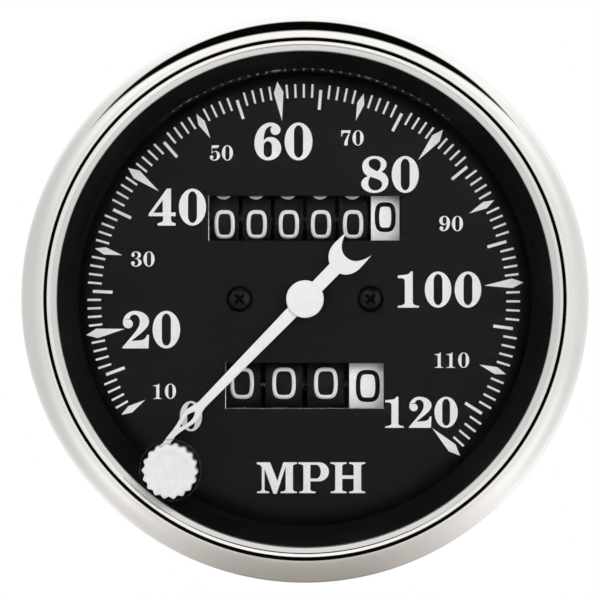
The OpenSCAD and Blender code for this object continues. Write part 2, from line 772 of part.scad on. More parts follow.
// Star pinions in the carry plates, clear of the drums except while a drum carries
module carry_pinions() {
    waist_d = carry_pinion_d / 2;
    pinion_teeth = 8;
    pinion_m = carry_pinion_d / (pinion_teeth + 1.8);
    half_w = recess_t - end_play;
    color("goldenrod") face_front() at_gaps() translate([0, 0, -carry_reach]) union() {
        along_x() cylinder(d = waist_d, h = 2 * half_w, center = true);
        for (side = [-1, 1]) translate([side > 0 ? carry_t : -carry_t - half_w, 0, 0])
            along_x() linear_extrude(half_w) polygon(gear_points(pinion_teeth, pinion_m));
    }
}

// Long bush in the coupling that carries the drive spindle
module spindle_bush() {
    bush_l = shoulder_z - end_play - back_out + coupling_l / 2;
    color("goldenrod") face_front() translate([0, 0, back_out - coupling_l / 2])
        tube(coupling_bore_d / 2, spindle_d / 2 + run, bush_l);
}

// Coupling for the drive cable: a thread, its relief groove, a collar on the case and a neck staked inside it
module drive_coupling() {
    stake_l = 1.2;
    color("silver") face_front() difference() {
        union() {
            translate([0, 0, back_out - coupling_l])
                cylinder(d = coupling_d, h = coupling_l - collar_t - thread_relief);
            translate([0, 0, back_out - coupling_l / 2])
                cylinder(d = coupling_neck_d, h = coupling_l / 2 + case_wall + stake_l);
            translate([0, 0, back_out - collar_t]) cylinder(d = collar_d, h = collar_t);
        }
        translate([0, 0, back_out - coupling_l - cut])
            cylinder(d = coupling_bore_d, h = coupling_l + case_wall + stake_l + 2 * cut);
    }
}

// Mounting studs: a thread behind the case and a neck riveted inside it
module mount_studs() {
    head_d = stud_d + 3.2;
    head_h = 1.6;
    color("silver") face_front() for (x = [-1, 1]) translate([x * stud_spacing / 2, 0, 0]) {
        translate([0, 0, back_out - stud_l]) cylinder(d = stud_d, h = stud_l - thread_relief);
        translate([0, 0, back_out - stud_l / 2])
            cylinder(d = stud_neck_d, h = stud_l / 2 + case_wall + head_h / 2);
        translate([0, 0, back_in]) cylinder(d = head_d, h = head_h);
    }
}

// Push-in lamp holders in the back of the case
module lamp_holders() {
    rim_d = lamp_d + 2;
    rim_t = 1.2;
    inside_l = 4;
    color("silver") face_front() at_lamps() difference() {
        union() {
            translate([0, 0, back_out - lamp_l]) cylinder(d = lamp_d, h = lamp_l + case_wall + inside_l);
            translate([0, 0, back_out - rim_t]) cylinder(d = rim_d, h = rim_t);
        }
        translate([0, 0, back_out]) cylinder(d = bulb_cap_d, h = case_wall + inside_l + cut);
    }
}

// Bulbs with a metal cap in the holder and a round glass
module lamp_bulbs() {
    glass_d = 6.6;
    glass_l = 4;
    cap_l = 6;
    glass_z = back_in + cap_l;
    color("lightyellow") face_front() at_lamps() {
        translate([0, 0, back_out]) cylinder(d = bulb_cap_d, h = glass_z - back_out);
        translate([0, 0, glass_z]) rotate_extrude() polygon(concat(
            [[0, 0], [glass_d / 2, 0]], arc(0, glass_l, glass_d / 2, 0, 90, 8)));
    }
}

// Flat pointer with round hub, hollow lozenge head and a crescent tail
module pointer() {
    blade_z = dial_front + pointer_lift;
    head_start = head_reach - head_rise;
    tip_reach = head_reach + tip_l;
    tip_w = 0.3;
    horn_taper = 0.25;
    window_low = 0.58 * head_window_l;
    color("white") face_front() translate([0, 0, blade_z]) rotate([0, 0, -pointer_rest]) difference() {
        union() {
            cylinder(d = hub_d, h = hub_h);
            linear_extrude(blade_t) polygon([
                [-blade_w / 2, 0], [-neck_w / 2, head_start], [-head_w / 2, head_reach],
                [-tip_w / 2, tip_reach], [tip_w / 2, tip_reach],
                [head_w / 2, head_reach], [neck_w / 2, head_start], [blade_w / 2, 0]]);
            translate([-blade_w / 2, -tail_reach, 0]) cube([blade_w, tail_reach, blade_t]);
            translate([0, -tail_reach, 0]) cylinder(d = tail_d, h = blade_t);
            linear_extrude(blade_t) polygon([
                [-tail_d / 2, -tail_reach], [tail_d / 2, -tail_reach],
                [tail_d / 2 - horn_taper, -tail_reach - horn_l],
                [horn_taper - tail_d / 2, -tail_reach - horn_l]]);
        }
        translate([0, -tail_reach - notch_shift, -cut]) cylinder(d = notch_d, h = blade_t + 2 * cut);
        translate([0, head_reach, -cut]) linear_extrude(blade_t + 2 * cut) polygon([
            [0, -window_low], [head_window_w / 2, 0],
            [0, head_window_l - window_low], [-head_window_w / 2, 0]]);
    }
}

// Boss that grips the staff under the pointer
module pointer_boss() {
    color("white") face_front() translate([0, 0, dial_front + end_play])
        tube(boss_d / 2, staff_d / 2, pointer_lift - end_play);
}

// Staff with the hairspring collet and a pivot that runs in the end of the drive spindle
module pointer_staff() {
    staff_low = spindle_top - pivot_l;
    color("silver") face_front() {
        translate([0, 0, staff_low]) cylinder(d = staff_d, h = dial_front + pointer_lift - staff_low);
        translate([0, 0, hairspring_z - hairspring_h - collet_rim])
            cylinder(d = collet_d, h = hairspring_h + 2 * collet_rim);
    }
}

// Thin cup that the turning magnet drags against the hairspring
module drag_cup() {
    color("lightgray") face_front() translate([0, 0, drag_cup_z - drag_cup_l]) difference() {
        cylinder(d = drag_cup_d, h = drag_cup_l);
        translate([0, 0, -drag_cup_wall]) cylinder(d = drag_cup_d - 2 * drag_cup_wall, h = drag_cup_l);
        cylinder(d = staff_d, h = drag_cup_l + cut);
    }
}

// Flat spiral from the collet to the anchor on the spring bridge
module hairspring() {
    steps = 24 * hairspring_turns;
    inner_r = collet_d / 2 + hairspring_t / 2 + run;
    outer_r = hairspring_d / 2;
    function spiral(shift) = [for (i = [0 : steps])
        let (r = inner_r + (outer_r - inner_r) * i / steps + shift, a = 360 * hairspring_turns * i / steps)
        [r * cos(a), r * sin(a)]];
    outer = spiral(hairspring_t / 2);
    inner = spiral(-hairspring_t / 2);
    color("steelblue") face_front() translate([0, 0, hairspring_z - hairspring_h])
        linear_extrude(hairspring_h) polygon(concat(outer, [for (i = [0 : steps]) inner[steps - i]]));
}

// Spindle with a square socket for the cable behind and a pivot hole in front
module drive_spindle() {
    cable_room = 3;
    low = back_out - coupling_l + cable_room;
    pivot_low = spindle_top - pivot_l - end_play;
    color("silver") face_front() difference() {
        union() {
            translate([0, 0, low]) cylinder(d = spindle_d, h = shoulder_z - low);
            translate([0, 0, shoulder_z - cut])
                cylinder(d = spindle_front_d, h = spindle_top - shoulder_z + cut);
        }
        translate([-socket_w / 2, -socket_w / 2, low - cut]) cube([socket_w, socket_w, socket_l + cut]);
        translate([0, 0, pivot_low]) cylinder(d = staff_d + 2 * run, h = spindle_top - pivot_low + cut);
    }
}

module drive_worm() {
    color("goldenrod") face_front() translate([0, 0, worm_z])
        worm(drive_module, drive_worm_d, spindle_front_d / 2);
}

module magnet() {
    color("darkslategray") face_front() translate([0, 0, magnet_z - magnet_l])
        tube(magnet_d / 2, spindle_front_d / 2, magnet_l);
}

// Steel cup that turns with the magnet and closes its field
module field_cup() {
    color("gray") face_front() translate([0, 0, field_cup_z - field_cup_l]) difference() {
        cylinder(d = field_cup_d, h = field_cup_l);
        translate([0, 0, field_cup_wall]) cylinder(d = field_cup_d - 2 * field_cup_wall, h = field_cup_l);
        translate([0, 0, -cut]) cylinder(d = spindle_front_d, h = field_cup_l);
    }
}

// Upright shaft that takes the drive to both counters
module cross_shaft() {
    low = post_ys[1] - post_w / 2 - shaft_end;
    high = post_ys[0] + post_w / 2 + shaft_end;
    color("silver") face_front() translate([cross_x, low, worm_z])
        along_y() cylinder(d = cross_shaft_d, h = high - low);
}

module cross_wheel() {
    color("wheat") face_front() translate([cross_x, -wheel_w / 2, worm_z])
        along_y() gear(cross_teeth, drive_module, wheel_w, cross_shaft_d / 2);
}

module cross_worms() {
    color("goldenrod") face_front() for (y = counter_ys) translate([cross_x, y, worm_z])
        along_y() rotate([0, 0, -90]) worm(counter_module, counter_worm_d, cross_shaft_d / 2);
}

// Arbor with its worm wheel, running in a bush of the right plate
module counter_arbor(y) {
    wheel_x = cross_x - wheel_w / 2;
    translate([wheel_x, y, arbor_z]) along_x() {
        rotate([0, 0, 180 / arbor_teeth])
            linear_extrude(wheel_w) polygon(gear_points(arbor_teeth, counter_module));
        cylinder(d = arbor_d, h = gear_x + gear_w - wheel_x);
    }
}

// One of the three equal spur gears from an arbor to its counter
module counter_gear(y, z, bore_r) {
    translate([gear_x, y, z]) along_x() rotate([0, 0, 180]) gear(spur_teeth, spur_module, gear_w, bore_r);
}

module odometer_arbor() {
    color("wheat") face_front() counter_arbor(odometer_y);
}

module odometer_arbor_gear() {
    color("wheat") face_front() counter_gear(odometer_y, arbor_z, arbor_d / 2);
}

module odometer_idler() {
    color("wheat") face_front() counter_gear(odometer_y, idler_z, arbor_d / 2 + run);
}

module odometer_gear() {
    color("wheat") face_front() counter_gear(odometer_y, drum_z, shaft_d / 2);
}

// Shaft that turns with the tenths drum while the other drums run free on it
module odometer_shaft() {
    color("silver") face_front() translate([-plate_out - shaft_end, odometer_y, drum_z])
        along_x() cylinder(d = shaft_d, h = plate_out + shaft_end + gear_x + gear_w);
}

module trip_arbor() {
    color("wheat") face_front() counter_arbor(-trip_y);
}

module trip_arbor_gear() {
    color("wheat") face_front() counter_gear(-trip_y, arbor_z, arbor_d / 2);
}

module trip_idler() {
    color("wheat") face_front() counter_gear(-trip_y, idler_z, arbor_d / 2 + run);
}

// Gear that drives the trip shaft through friction, so that the knob can turn the shaft inside it
module trip_clutch_gear() {
    color("wheat") face_front() counter_gear(-trip_y, drum_z, shaft_d / 2 + run);
}

// Number drum with a ring of teeth in one side and a plain recess in the other
module counter_drum(w, bore_r) {
    along_x() difference() {
        cylinder(d = drum_d, h = w, center = true);
        cylinder(r = bore_r, h = w + 2 * cut, center = true);
        translate([0, 0, w / 2 - recess_t]) difference() {
            linear_extrude(recess_t + cut) polygon(gear_points(ring_teeth, ring_module));
            cylinder(d = drum_hub_d, h = recess_t + cut);
        }
        translate([0, 0, -w / 2 - cut]) difference() {
            cylinder(r = ring_module * (ring_teeth / 2 + 0.9), h = recess_t + cut);
            cylinder(d = drum_hub_d, h = recess_t + cut);
        }
    }
}

// Odometer drum counted from the left, the sixth pressed on the shaft
module odometer_drum(i) {
    bore_r = i == 6 ? shaft_d / 2 : shaft_d / 2 + run;
    color(i == 6 ? "white" : "black") face_front()
        translate([(i - 3.5) * odometer_pitch, odometer_y, drum_z]) counter_drum(odometer_drum_w, bore_r);
}

// Trip drum counted from the left, the fourth pressed on the shaft
module trip_drum(i) {
    bore_r = i == 4 ? shaft_d / 2 : shaft_d / 2 + run;
    color(i == 4 ? "white" : "black") face_front()
        translate([(i - 2.5) * trip_pitch, -trip_y, drum_z]) counter_drum(trip_drum_w, bore_r);
}

// Shaft through the trip drums with the reset gear on its left end
module trip_shaft() {
    low = reset_gear_x - gear_w;
    high = gear_x + gear_w + shaft_end;
    color("silver") face_front() translate([low, -trip_y, drum_z]) along_x() {
        cylinder(d = shaft_d, h = high - low);
        rotate([0, 0, 180 / reset_teeth])
            linear_extrude(gear_w) polygon(gear_points(reset_teeth, reset_module));
    }
}

// Wheel with face teeth for the stem pinion and rim teeth for the trip shaft
module reset_crown() {
    tip_x = crown_root_x - crown_tooth_h;
    low_x = crown_root_x + crown_l / 2;
    pitch_half = (PI * crown_module / 2 - backlash) / 2 - run;
    tip_half = pitch_half - (crown_tooth_h - crown_root) * tan(20);
    low_half = pitch_half + crown_root * tan(20);
    inner_l = 0.5;
    outer_l = 1;
    color("goldenrod") face_front() translate([0, -stem_y, drum_z]) difference() {
        union() {
            translate([crown_root_x, 0, 0]) along_x() linear_extrude(crown_l)
                polygon(gear_points(reset_teeth, reset_module));
            for (i = [0 : crown_teeth - 1]) rotate([360 * (i + 0.5) / crown_teeth, 0, 0])
                translate([0, 0, crown_r - inner_l]) linear_extrude(inner_l + outer_l) polygon([
                    [tip_x, -tip_half], [low_x, -low_half], [low_x, low_half], [tip_x, tip_half]]);
        }
        translate([crown_root_x - cut, 0, 0])
            along_x() cylinder(d = arbor_d + 2 * run, h = crown_l + 2 * cut);
    }
}

// Reset stem: thick through the glass, thin behind the dial, with a pinion and an end pivot
module reset_stem() {
    pinion_w = 2.4;
    thick_low = dial_back - 1;
    color("silver") face_front() translate([-stem_x, -stem_y, 0]) {
        translate([0, 0, thick_low]) cylinder(d = stem_d, h = stem_top - thick_low);
        translate([0, 0, tab_z + end_play]) cylinder(d = stem_inner_d, h = thick_low - tab_z);
        translate([0, 0, tab_z - tab_t - shaft_end]) cylinder(d = stem_pivot_d, h = tab_t + pivot_l);
        translate([0, 0, drum_z - crown_r - pinion_w / 2])
            linear_extrude(pinion_w) polygon(gear_points(stem_teeth, crown_module));
    }
}

// Knob with rounded teeth around it and a slightly sunk top
module reset_knob() {
    core_r = knob_d / 2 - knob_tooth_d / 2;
    sink = 0.4;
    rim_w = 1;
    color("whitesmoke") face_front() translate([-stem_x, -stem_y, knob_z]) difference() {
        linear_extrude(knob_h) polygon(knob_points(core_r, knob_tooth_d / 2));
        translate([0, 0, -cut]) cylinder(d = stem_d, h = stem_top - knob_z + cut);
        translate([0, 0, knob_h - sink]) cylinder(r = core_r - rim_w, h = sink + cut);
    }
}

case_can();
bezel_ring();
lens_glass();
lens_gasket();
lens_bush();
spacer_ring();
dial_plate();
dial_screws();
front_bridge();
staff_bush();
spring_bridge();
side_plate_left();
side_plate_right();
movement_base();
case_screws();
train_posts();
carry_bars();
carry_plates();
carry_pinions();
spindle_bush();
drive_coupling();
mount_studs();
lamp_holders();
lamp_bulbs();
pointer();
pointer_boss();
pointer_staff();
drag_cup();
hairspring();
drive_spindle();
drive_worm();
magnet();
field_cup();
cross_shaft();
cross_wheel();
cross_worms();
odometer_arbor();
odometer_arbor_gear();
odometer_idler();
odometer_gear();
odometer_shaft();
for (i = [1 : 6]) odometer_drum(i);
trip_arbor();
trip_arbor_gear();
trip_idler();
trip_clutch_gear();
for (i = [1 : 4]) trip_drum(i);
trip_shaft();
reset_crown();
reset_stem();
reset_knob();
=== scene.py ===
# %% [markdown]
# # A dashboard speedometer, from construction model to portrait
#
# The construction model fixes every size, place and joint of this gauge. What it lacks is everything that
# a hand or a press adds at the end: the polish of the bezel, the white printing on the dial, the soft
# edges of the pointer and the numbers on the little drums. This lesson makes those, gives every piece its
# finish, and lights the gauge as a product photographer would.
#
# The frame is the same one throughout: x runs to the right, z runs up, and the gauge looks towards minus
# y. Drawings are in millimetres on a flat sheet, because dials are drawn flat before they are printed.

# %% Load the construction model
import json
from math import atan2, cos, hypot, pi, radians, sin

import bpy
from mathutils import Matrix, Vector


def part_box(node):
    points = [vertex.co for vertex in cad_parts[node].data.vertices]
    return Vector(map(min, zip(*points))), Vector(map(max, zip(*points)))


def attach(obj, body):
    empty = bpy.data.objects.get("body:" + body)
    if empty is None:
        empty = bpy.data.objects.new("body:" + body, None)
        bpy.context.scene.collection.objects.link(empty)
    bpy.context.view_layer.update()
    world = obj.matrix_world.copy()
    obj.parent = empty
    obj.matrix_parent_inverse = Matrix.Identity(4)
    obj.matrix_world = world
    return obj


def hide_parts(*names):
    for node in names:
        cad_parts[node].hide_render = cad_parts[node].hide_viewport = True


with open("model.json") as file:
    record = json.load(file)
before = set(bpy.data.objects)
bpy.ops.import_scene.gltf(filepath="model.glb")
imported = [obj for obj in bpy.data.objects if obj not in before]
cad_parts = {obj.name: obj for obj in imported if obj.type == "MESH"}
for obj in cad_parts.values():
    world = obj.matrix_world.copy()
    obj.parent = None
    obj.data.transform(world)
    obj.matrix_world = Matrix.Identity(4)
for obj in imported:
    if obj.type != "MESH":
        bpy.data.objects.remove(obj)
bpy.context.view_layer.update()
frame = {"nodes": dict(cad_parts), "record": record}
MM = 0.001


# %% Read the levels that the finish has to meet
def front_level(node):
    """Level of a node's foremost point, in millimetres towards the viewer."""
    return -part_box(node)[0].y / MM


def back_level(node):
    """Level of a node's rearmost point, in millimetres towards the viewer."""
    return -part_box(node)[1].y / MM


def right_reach(node):
    """How far a node reaches to the right of the axis, in millimetres."""
    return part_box(node)[1].x / MM


def middle(node):
    """Middle of a node's box, in millimetres."""
    low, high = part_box(node)
    return (low + high) / 2 / MM


def half_size(node):
    """Half the size of a node's box, in millimetres."""
    low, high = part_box(node)
    return (high - low) / 2 / MM


DIAL_FRONT = front_level("dial_plate")
DRUM_RADIUS = half_size("odometer_drum_1").z
BEZEL_RADIUS = right_reach("bezel_ring")
print("dial at", round(DIAL_FRONT, 2), "drum radius", round(DRUM_RADIUS, 2), "bezel radius", BEZEL_RADIUS)


# %% [markdown]
# ## Small hand tools
#
# Every piece below is selected, shaped and given its place in the same few moves, so these moves get
# names. A place is always applied to the mesh: the objects themselves stay at the origin, which lets a
# body carry them when its joint turns. Scaling the object and leaving it so would work too, but a bevel
# or a noise pattern would then be stretched by that scale.

# %% Tools for selecting, applying and welding
def only(piece):
    bpy.ops.object.select_all(action="DESELECT")
    piece.select_set(True)
    bpy.context.view_layer.objects.active = piece
    return piece


def apply_place(piece):
    only(piece)
    bpy.ops.object.transform_apply(location=True, rotation=True, scale=True)
    return piece


def weld(piece, gap=0.0005 * MM):
    only(piece)
    bpy.ops.object.mode_set(mode="EDIT")
    bpy.ops.mesh.select_all(action="SELECT")
    bpy.ops.mesh.remove_doubles(threshold=gap)
    bpy.ops.mesh.normals_make_consistent(inside=False)
    bpy.ops.object.mode_set(mode="OBJECT")
    return piece


def soften(piece, angle=35):
    only(piece)
    bpy.ops.object.shade_smooth_by_angle(angle=radians(angle))
    return piece


def join(pieces, name):
    bpy.ops.object.select_all(action="DESELECT")
    for piece in pieces:
        piece.select_set(True)
    bpy.context.view_layer.objects.active = pieces[0]
    bpy.ops.object.join()
    pieces[0].name = name
    return pieces[0]


def hand_over(piece, material, body, slot, *nodes):
    """Gives a finished piece its material and its body, and hides the nodes that it stands in for."""
    piece.data.materials.clear()
    piece.data.materials.append(material)
    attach(piece, body)
    if nodes:
        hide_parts(*nodes)
    print(piece.name, "rides", body, "with", len(piece.data.polygons), "faces")
    return piece


# %% [markdown]
# ## Drawing outlines
#
# A sign writer builds a numeral from straight strokes and quarter ellipses, and so does this pen. A path
# is a list of steps. A bare point is a straight step to that point, `h` is a quarter ellipse that leaves
# level and arrives upright, `v` leaves upright and arrives level, and `c` is a free curve with two
# handles. The handle length 0.5523 is the one that makes a Bezier quarter closest to a true ellipse.
# Straight steps get vector handles, so Blender makes one edge of each and cuts only the curves into many.
#
# The same pen draws filled shapes for the printing, plates such as the pointer, and the profiles that are
# turned on a lathe. A font would be quicker, but no font belongs to this dial, and its outlines do.

# %% The pen
ELLIPSE = 0.5523
SAME_SPOT = 1e-6


def read_step(step):
    """The kind and the numbers of a step. A bare point is a straight step."""
    if isinstance(step[0], str):
        return step[0], step[1:]
    return "line", step


def handles(kind, start, end, numbers):
    way = end - start
    if kind == "h":
        return Vector((start.x + ELLIPSE * way.x, start.y)), Vector((end.x, end.y - ELLIPSE * way.y))
    if kind == "v":
        return Vector((start.x, start.y + ELLIPSE * way.y)), Vector((end.x - ELLIPSE * way.x, end.y))
    if kind == "c":
        return Vector(numbers[0:2]), Vector(numbers[2:4])
    return start + way / 3, end - way / 3


def anchors_of(path, closed):
    """Each point of a path with its two handles, and whether the steps before and after it are straight."""
    here = Vector(path[0])
    anchors = [{"at": here, "back": here, "ahead": here, "before": "FREE", "after": "FREE"}]
    for step in path[1:]:
        kind, numbers = read_step(step)
        end = Vector(numbers[-2:])
        leaving, arriving = handles(kind, here, end, numbers)
        pull = "VECTOR" if kind == "line" else "FREE"
        anchors[-1].update(ahead=leaving, after=pull)
        anchors.append({"at": end, "back": arriving, "ahead": end, "before": pull, "after": "FREE"})
        here = end
    if closed and (here - anchors[0]["at"]).length < SAME_SPOT:
        last = anchors.pop()
        anchors[0].update(back=last["back"], before=last["before"])
    return anchors


def draw(sheet, path, size=1.0, shift=(0.0, 0.0), stretch=1.0, closed=True):
    """Adds a path to a sheet, sized and shifted; stretch widens it."""
    anchors = anchors_of(path, closed)
    spline = sheet.data.splines.new("BEZIER")
    spline.bezier_points.add(len(anchors) - 1)
    spline.use_cyclic_u = closed
    for point, anchor in zip(spline.bezier_points, anchors):
        spots = [anchor[label] for label in ("at", "back", "ahead")]
        spots = [(p.x * size * stretch + shift[0], p.y * size + shift[1], 0.0) for p in spots]
        point.handle_left_type = anchor["before"]
        point.handle_right_type = anchor["after"]
        point.co, point.handle_left, point.handle_right = spots


def sheet_of(name, filled=True, smoothness=10):
    bpy.ops.curve.primitive_bezier_curve_add()
    sheet = bpy.context.object
    sheet.name = name
    sheet.data.splines.clear()
    sheet.data.dimensions = "2D"
    sheet.data.fill_mode = "BOTH" if filled else "NONE"
    sheet.data.resolution_u = smoothness
    return sheet


def stamp(sheet, level, thickness, edge=0.0, turn=0.0, shrink=0.0):
    """Cuts a drawn sheet out of stock with softened edges and stands it on a level, facing the viewer."""
    sheet.data.extrude = thickness / 2 - edge
    sheet.data.bevel_depth = edge
    sheet.data.bevel_resolution = 3
    sheet.data.offset = -edge - shrink
    only(sheet)
    bpy.ops.object.convert(target="MESH")
    piece = bpy.context.object
    piece.rotation_euler = (pi / 2, turn, 0)
    piece.scale = (MM, MM, MM)
    piece.location.y = -(level + thickness / 2) * MM
    return weld(apply_place(piece))


def turned(name, profile, steps=160, smoothness=12, centre=(0.0, 0.0), closed=True):
    """Turns a profile of radius and level about an axis through a centre, like a lathe."""
    sheet = sheet_of(name, filled=False, smoothness=smoothness)
    draw(sheet, profile, closed=closed)
    only(sheet)
    bpy.ops.object.convert(target="MESH")
    piece = bpy.context.object
    piece.scale = (MM, -MM, MM)
    piece.location = (centre[0] * MM, 0, centre[1] * MM)
    apply_place(piece)
    bpy.ops.object.mode_set(mode="EDIT")
    bpy.ops.mesh.select_all(action="SELECT")
    bpy.ops.mesh.spin(steps=steps, angle=2 * pi, center=(centre[0] * MM, 0, centre[1] * MM), axis=(0, 1, 0))
    bpy.ops.object.mode_set(mode="OBJECT")
    return soften(weld(piece))


# %% [markdown]
# ## Finishes
#
# No real surface is one flat colour. Enamel has a slight grain, plating has faint marks from polishing,
# and moulded plastic is a little cloudy. A node group holds that grain, so each finish only says how
# strong it is. A second group gives the distance from the gauge's axis, which tells one ring of a turned
# piece from the next. Both read Object coordinates: the objects sit at the origin, so a grain size is a
# real size.
#
# An image texture would need a photograph of each surface. A noise needs only a size and a strength, and
# it stays sharp however close the camera comes.
#
# By hand, nodes are dragged into place and joined with the mouse. Here one helper adds a node and joins
# its inputs, and three more use it to reckon, to squeeze a value between two limits and to mix.

# %% Tools for nodes
def add_node(tree, kind, inputs, **settings):
    """Adds a node, and gives each input a plain value or a link from an output."""
    node = tree.nodes.new(kind)
    for label, value in settings.items():
        setattr(node, label, value)
    for label, value in inputs.items():
        if isinstance(value, bpy.types.NodeSocket):
            tree.links.new(value, node.inputs[label])
        else:
            node.inputs[label].default_value = value
    return node


def reckon(tree, operation, *values):
    """A Math node on outputs and plain numbers."""
    return add_node(tree, "ShaderNodeMath", dict(enumerate(values)), operation=operation).outputs[0]


def between(tree, value, start, end, low=0.0, high=1.0):
    """Squeezes a value between two limits, smoothly."""
    limits = {"Value": value, "From Min": start, "From Max": end, "To Min": low, "To Max": high}
    return add_node(tree, "ShaderNodeMapRange", limits, interpolation_type="SMOOTHSTEP").outputs[0]


def mixed(tree, kind, mask, first, second):
    """The first where the mask is nought, the second where it is one."""
    inputs = {"Factor": mask, "A": first, "B": second}
    return add_node(tree, "ShaderNodeMix", inputs, data_type=kind).outputs["Result"]


def place_parts(tree):
    """The x, y and z of the Object coordinates."""
    place = add_node(tree, "ShaderNodeTexCoord", {}).outputs["Object"]
    return add_node(tree, "ShaderNodeSeparateXYZ", {0: place}).outputs


# %% Groups for the grain and for the distance from the axis
FLOAT = "NodeSocketFloat"
COLOUR = "NodeSocketColor"
VECTOR = "NodeSocketVector"


def group_of(name, inputs, outputs):
    group = bpy.data.node_groups.new(name, "ShaderNodeTree")
    for label, kind, value in inputs:
        socket = group.interface.new_socket(label, in_out="INPUT", socket_type=kind)
        socket.default_value = value
    for label, kind in outputs:
        group.interface.new_socket(label, in_out="OUTPUT", socket_type=kind)
    return group, group.nodes.new("NodeGroupInput").outputs, group.nodes.new("NodeGroupOutput").inputs


def make_grain_group():
    group, given, result = group_of(
        "grain", [("Dark", COLOUR, (0, 0, 0, 1)), ("Light", COLOUR, (1, 1, 1, 1)), ("Size", FLOAT, 1.0),
                  ("Low", FLOAT, 0.4), ("High", FLOAT, 0.5), ("Draw", VECTOR, (1, 1, 1))],
        [("Color", COLOUR), ("Value", FLOAT), ("Height", FLOAT)])
    place = add_node(group, "ShaderNodeTexCoord", {}).outputs["Object"]
    drawn = add_node(group, "ShaderNodeVectorMath", {0: place, 1: given["Draw"]}, operation="MULTIPLY")
    scale = reckon(group, "DIVIDE", 1 / MM, given["Size"])
    noise = add_node(group, "ShaderNodeTexNoise", {
        "Vector": drawn.outputs[0], "Scale": scale, "Detail": 5.0, "Roughness": 0.62})
    height = noise.outputs["Fac"]
    spread = add_node(group, "ShaderNodeMapRange", {"Value": height, "From Min": 0.32, "From Max": 0.68})
    share = spread.outputs[0]
    polish = add_node(group, "ShaderNodeMapRange", {
        "Value": share, "To Min": given["Low"], "To Max": given["High"]})
    group.links.new(mixed(group, "RGBA", share, given["Dark"], given["Light"]), result["Color"])
    group.links.new(polish.outputs[0], result["Value"])
    group.links.new(height, result["Height"])
    return group


def make_axis_group():
    group, _, result = group_of("axis_distance", [], [("Radius", FLOAT)])
    place = add_node(group, "ShaderNodeTexCoord", {}).outputs["Object"]
    flat = add_node(group, "ShaderNodeVectorMath", {0: place, 1: (1 / MM, 0, 1 / MM)}, operation="MULTIPLY")
    radius = add_node(group, "ShaderNodeVectorMath", {0: flat.outputs[0]}, operation="LENGTH")
    group.links.new(radius.outputs["Value"], result["Radius"])
    return group


GRAIN = make_grain_group()
AXIS = make_axis_group()
print("groups:", GRAIN.name, AXIS.name)


# %% One recipe for most finishes
RELIEF_STRENGTH = 0.5


def tone(red, green, blue):
    return (red, green, blue, 1.0)


def grey(value):
    return tone(value, value, value)


def finish(name, dark, light, size, rough, metal=0.0, relief=0.0, shine=0.5, draw_way=(1, 1, 1)):
    """A surface whose colour and polish vary with a grain of a given size in millimetres."""
    material = bpy.data.materials.new(name)
    material.use_nodes = True
    tree = material.node_tree
    surface = tree.nodes["Principled BSDF"]
    values = {"Dark": dark, "Light": light, "Size": size, "Low": rough[0], "High": rough[1], "Draw": draw_way}
    grain = add_node(tree, "ShaderNodeGroup", values, node_tree=GRAIN).outputs
    tree.links.new(grain["Color"], surface.inputs["Base Color"])
    tree.links.new(grain["Value"], surface.inputs["Roughness"])
    surface.inputs["Metallic"].default_value = metal
    surface.inputs["Specular IOR Level"].default_value = shine
    if relief:
        bump = add_node(tree, "ShaderNodeBump", {
            "Strength": RELIEF_STRENGTH, "Distance": relief * MM, "Height": grain["Height"]})
        tree.links.new(bump.outputs["Normal"], surface.inputs["Normal"])
    return material


FINISHES = {
    "case_plate": finish("zinc_plate", grey(0.46), grey(0.54), 1.0, (0.24, 0.34), metal=1.0,
                         relief=0.004, draw_way=(1, 0.04, 1)),
    "gasket_rubber": finish("moulded_rubber", grey(0.012), grey(0.022), 0.4, (0.6, 0.75), relief=0.02),
    "screw_black": finish("black_oxide", grey(0.003), grey(0.006), 0.5, (0.35, 0.5), relief=0.01,
                          shine=0.22),
    "pointer_white": finish("matt_white_enamel", tone(0.82, 0.82, 0.81), tone(0.88, 0.88, 0.87), 0.8,
                            (0.5, 0.6), relief=0.004),
    "knob_white": finish("pale_moulded_plastic", tone(0.78, 0.79, 0.78), tone(0.88, 0.89, 0.88), 1.2,
                         (0.3, 0.42), relief=0.03),
    "drum_black": finish("matt_black_moulding", grey(0.003), grey(0.0045), 0.5, (0.5, 0.62),
                         relief=0.006, shine=0.2),
    "drum_white": finish("matt_white_moulding", tone(0.86, 0.86, 0.84), tone(0.92, 0.92, 0.90), 0.7,
                         (0.5, 0.6), relief=0.004),
    "brass": finish("turned_brass", tone(0.60, 0.42, 0.16), tone(0.70, 0.50, 0.21), 1.0,
                    (0.22, 0.32), metal=1.0, relief=0.004),
    "steel": finish("bright_steel", grey(0.52), grey(0.6), 1.0, (0.2, 0.3), metal=1.0, relief=0.004),
    "cast_alloy": finish("die_cast_alloy", grey(0.42), grey(0.5), 0.8, (0.42, 0.55), metal=1.0, relief=0.02),
    "cup_alloy": finish("spun_aluminium", grey(0.62), grey(0.72), 2.5, (0.25, 0.36), metal=1.0, relief=0.01),
    "nylon": finish("natural_nylon", tone(0.68, 0.63, 0.50), tone(0.78, 0.74, 0.62), 1.5,
                    (0.4, 0.5), relief=0.01),
    "magnet_iron": finish("sintered_magnet", grey(0.02), grey(0.045), 0.3, (0.55, 0.7), metal=0.6,
                          relief=0.03),
}
PRINT_WHITE = finish("screen_print_white", tone(0.79, 0.79, 0.78), tone(0.87, 0.87, 0.86), 0.5, (0.55, 0.65),
                     relief=0.003)
FIGURE_WHITE = finish("drum_figure_white", tone(0.77, 0.77, 0.76), tone(0.85, 0.85, 0.84), 0.5, (0.55, 0.65),
                      relief=0.003)
PRINT_BLACK = finish("screen_print_black", grey(0.002), grey(0.004), 0.5, (0.5, 0.6), relief=0.003, shine=0.2)
SHADOW_BLACK = finish("unlit_recess", grey(0.0008), grey(0.0016), 0.3, (0.7, 0.8), relief=0.003, shine=0.04)
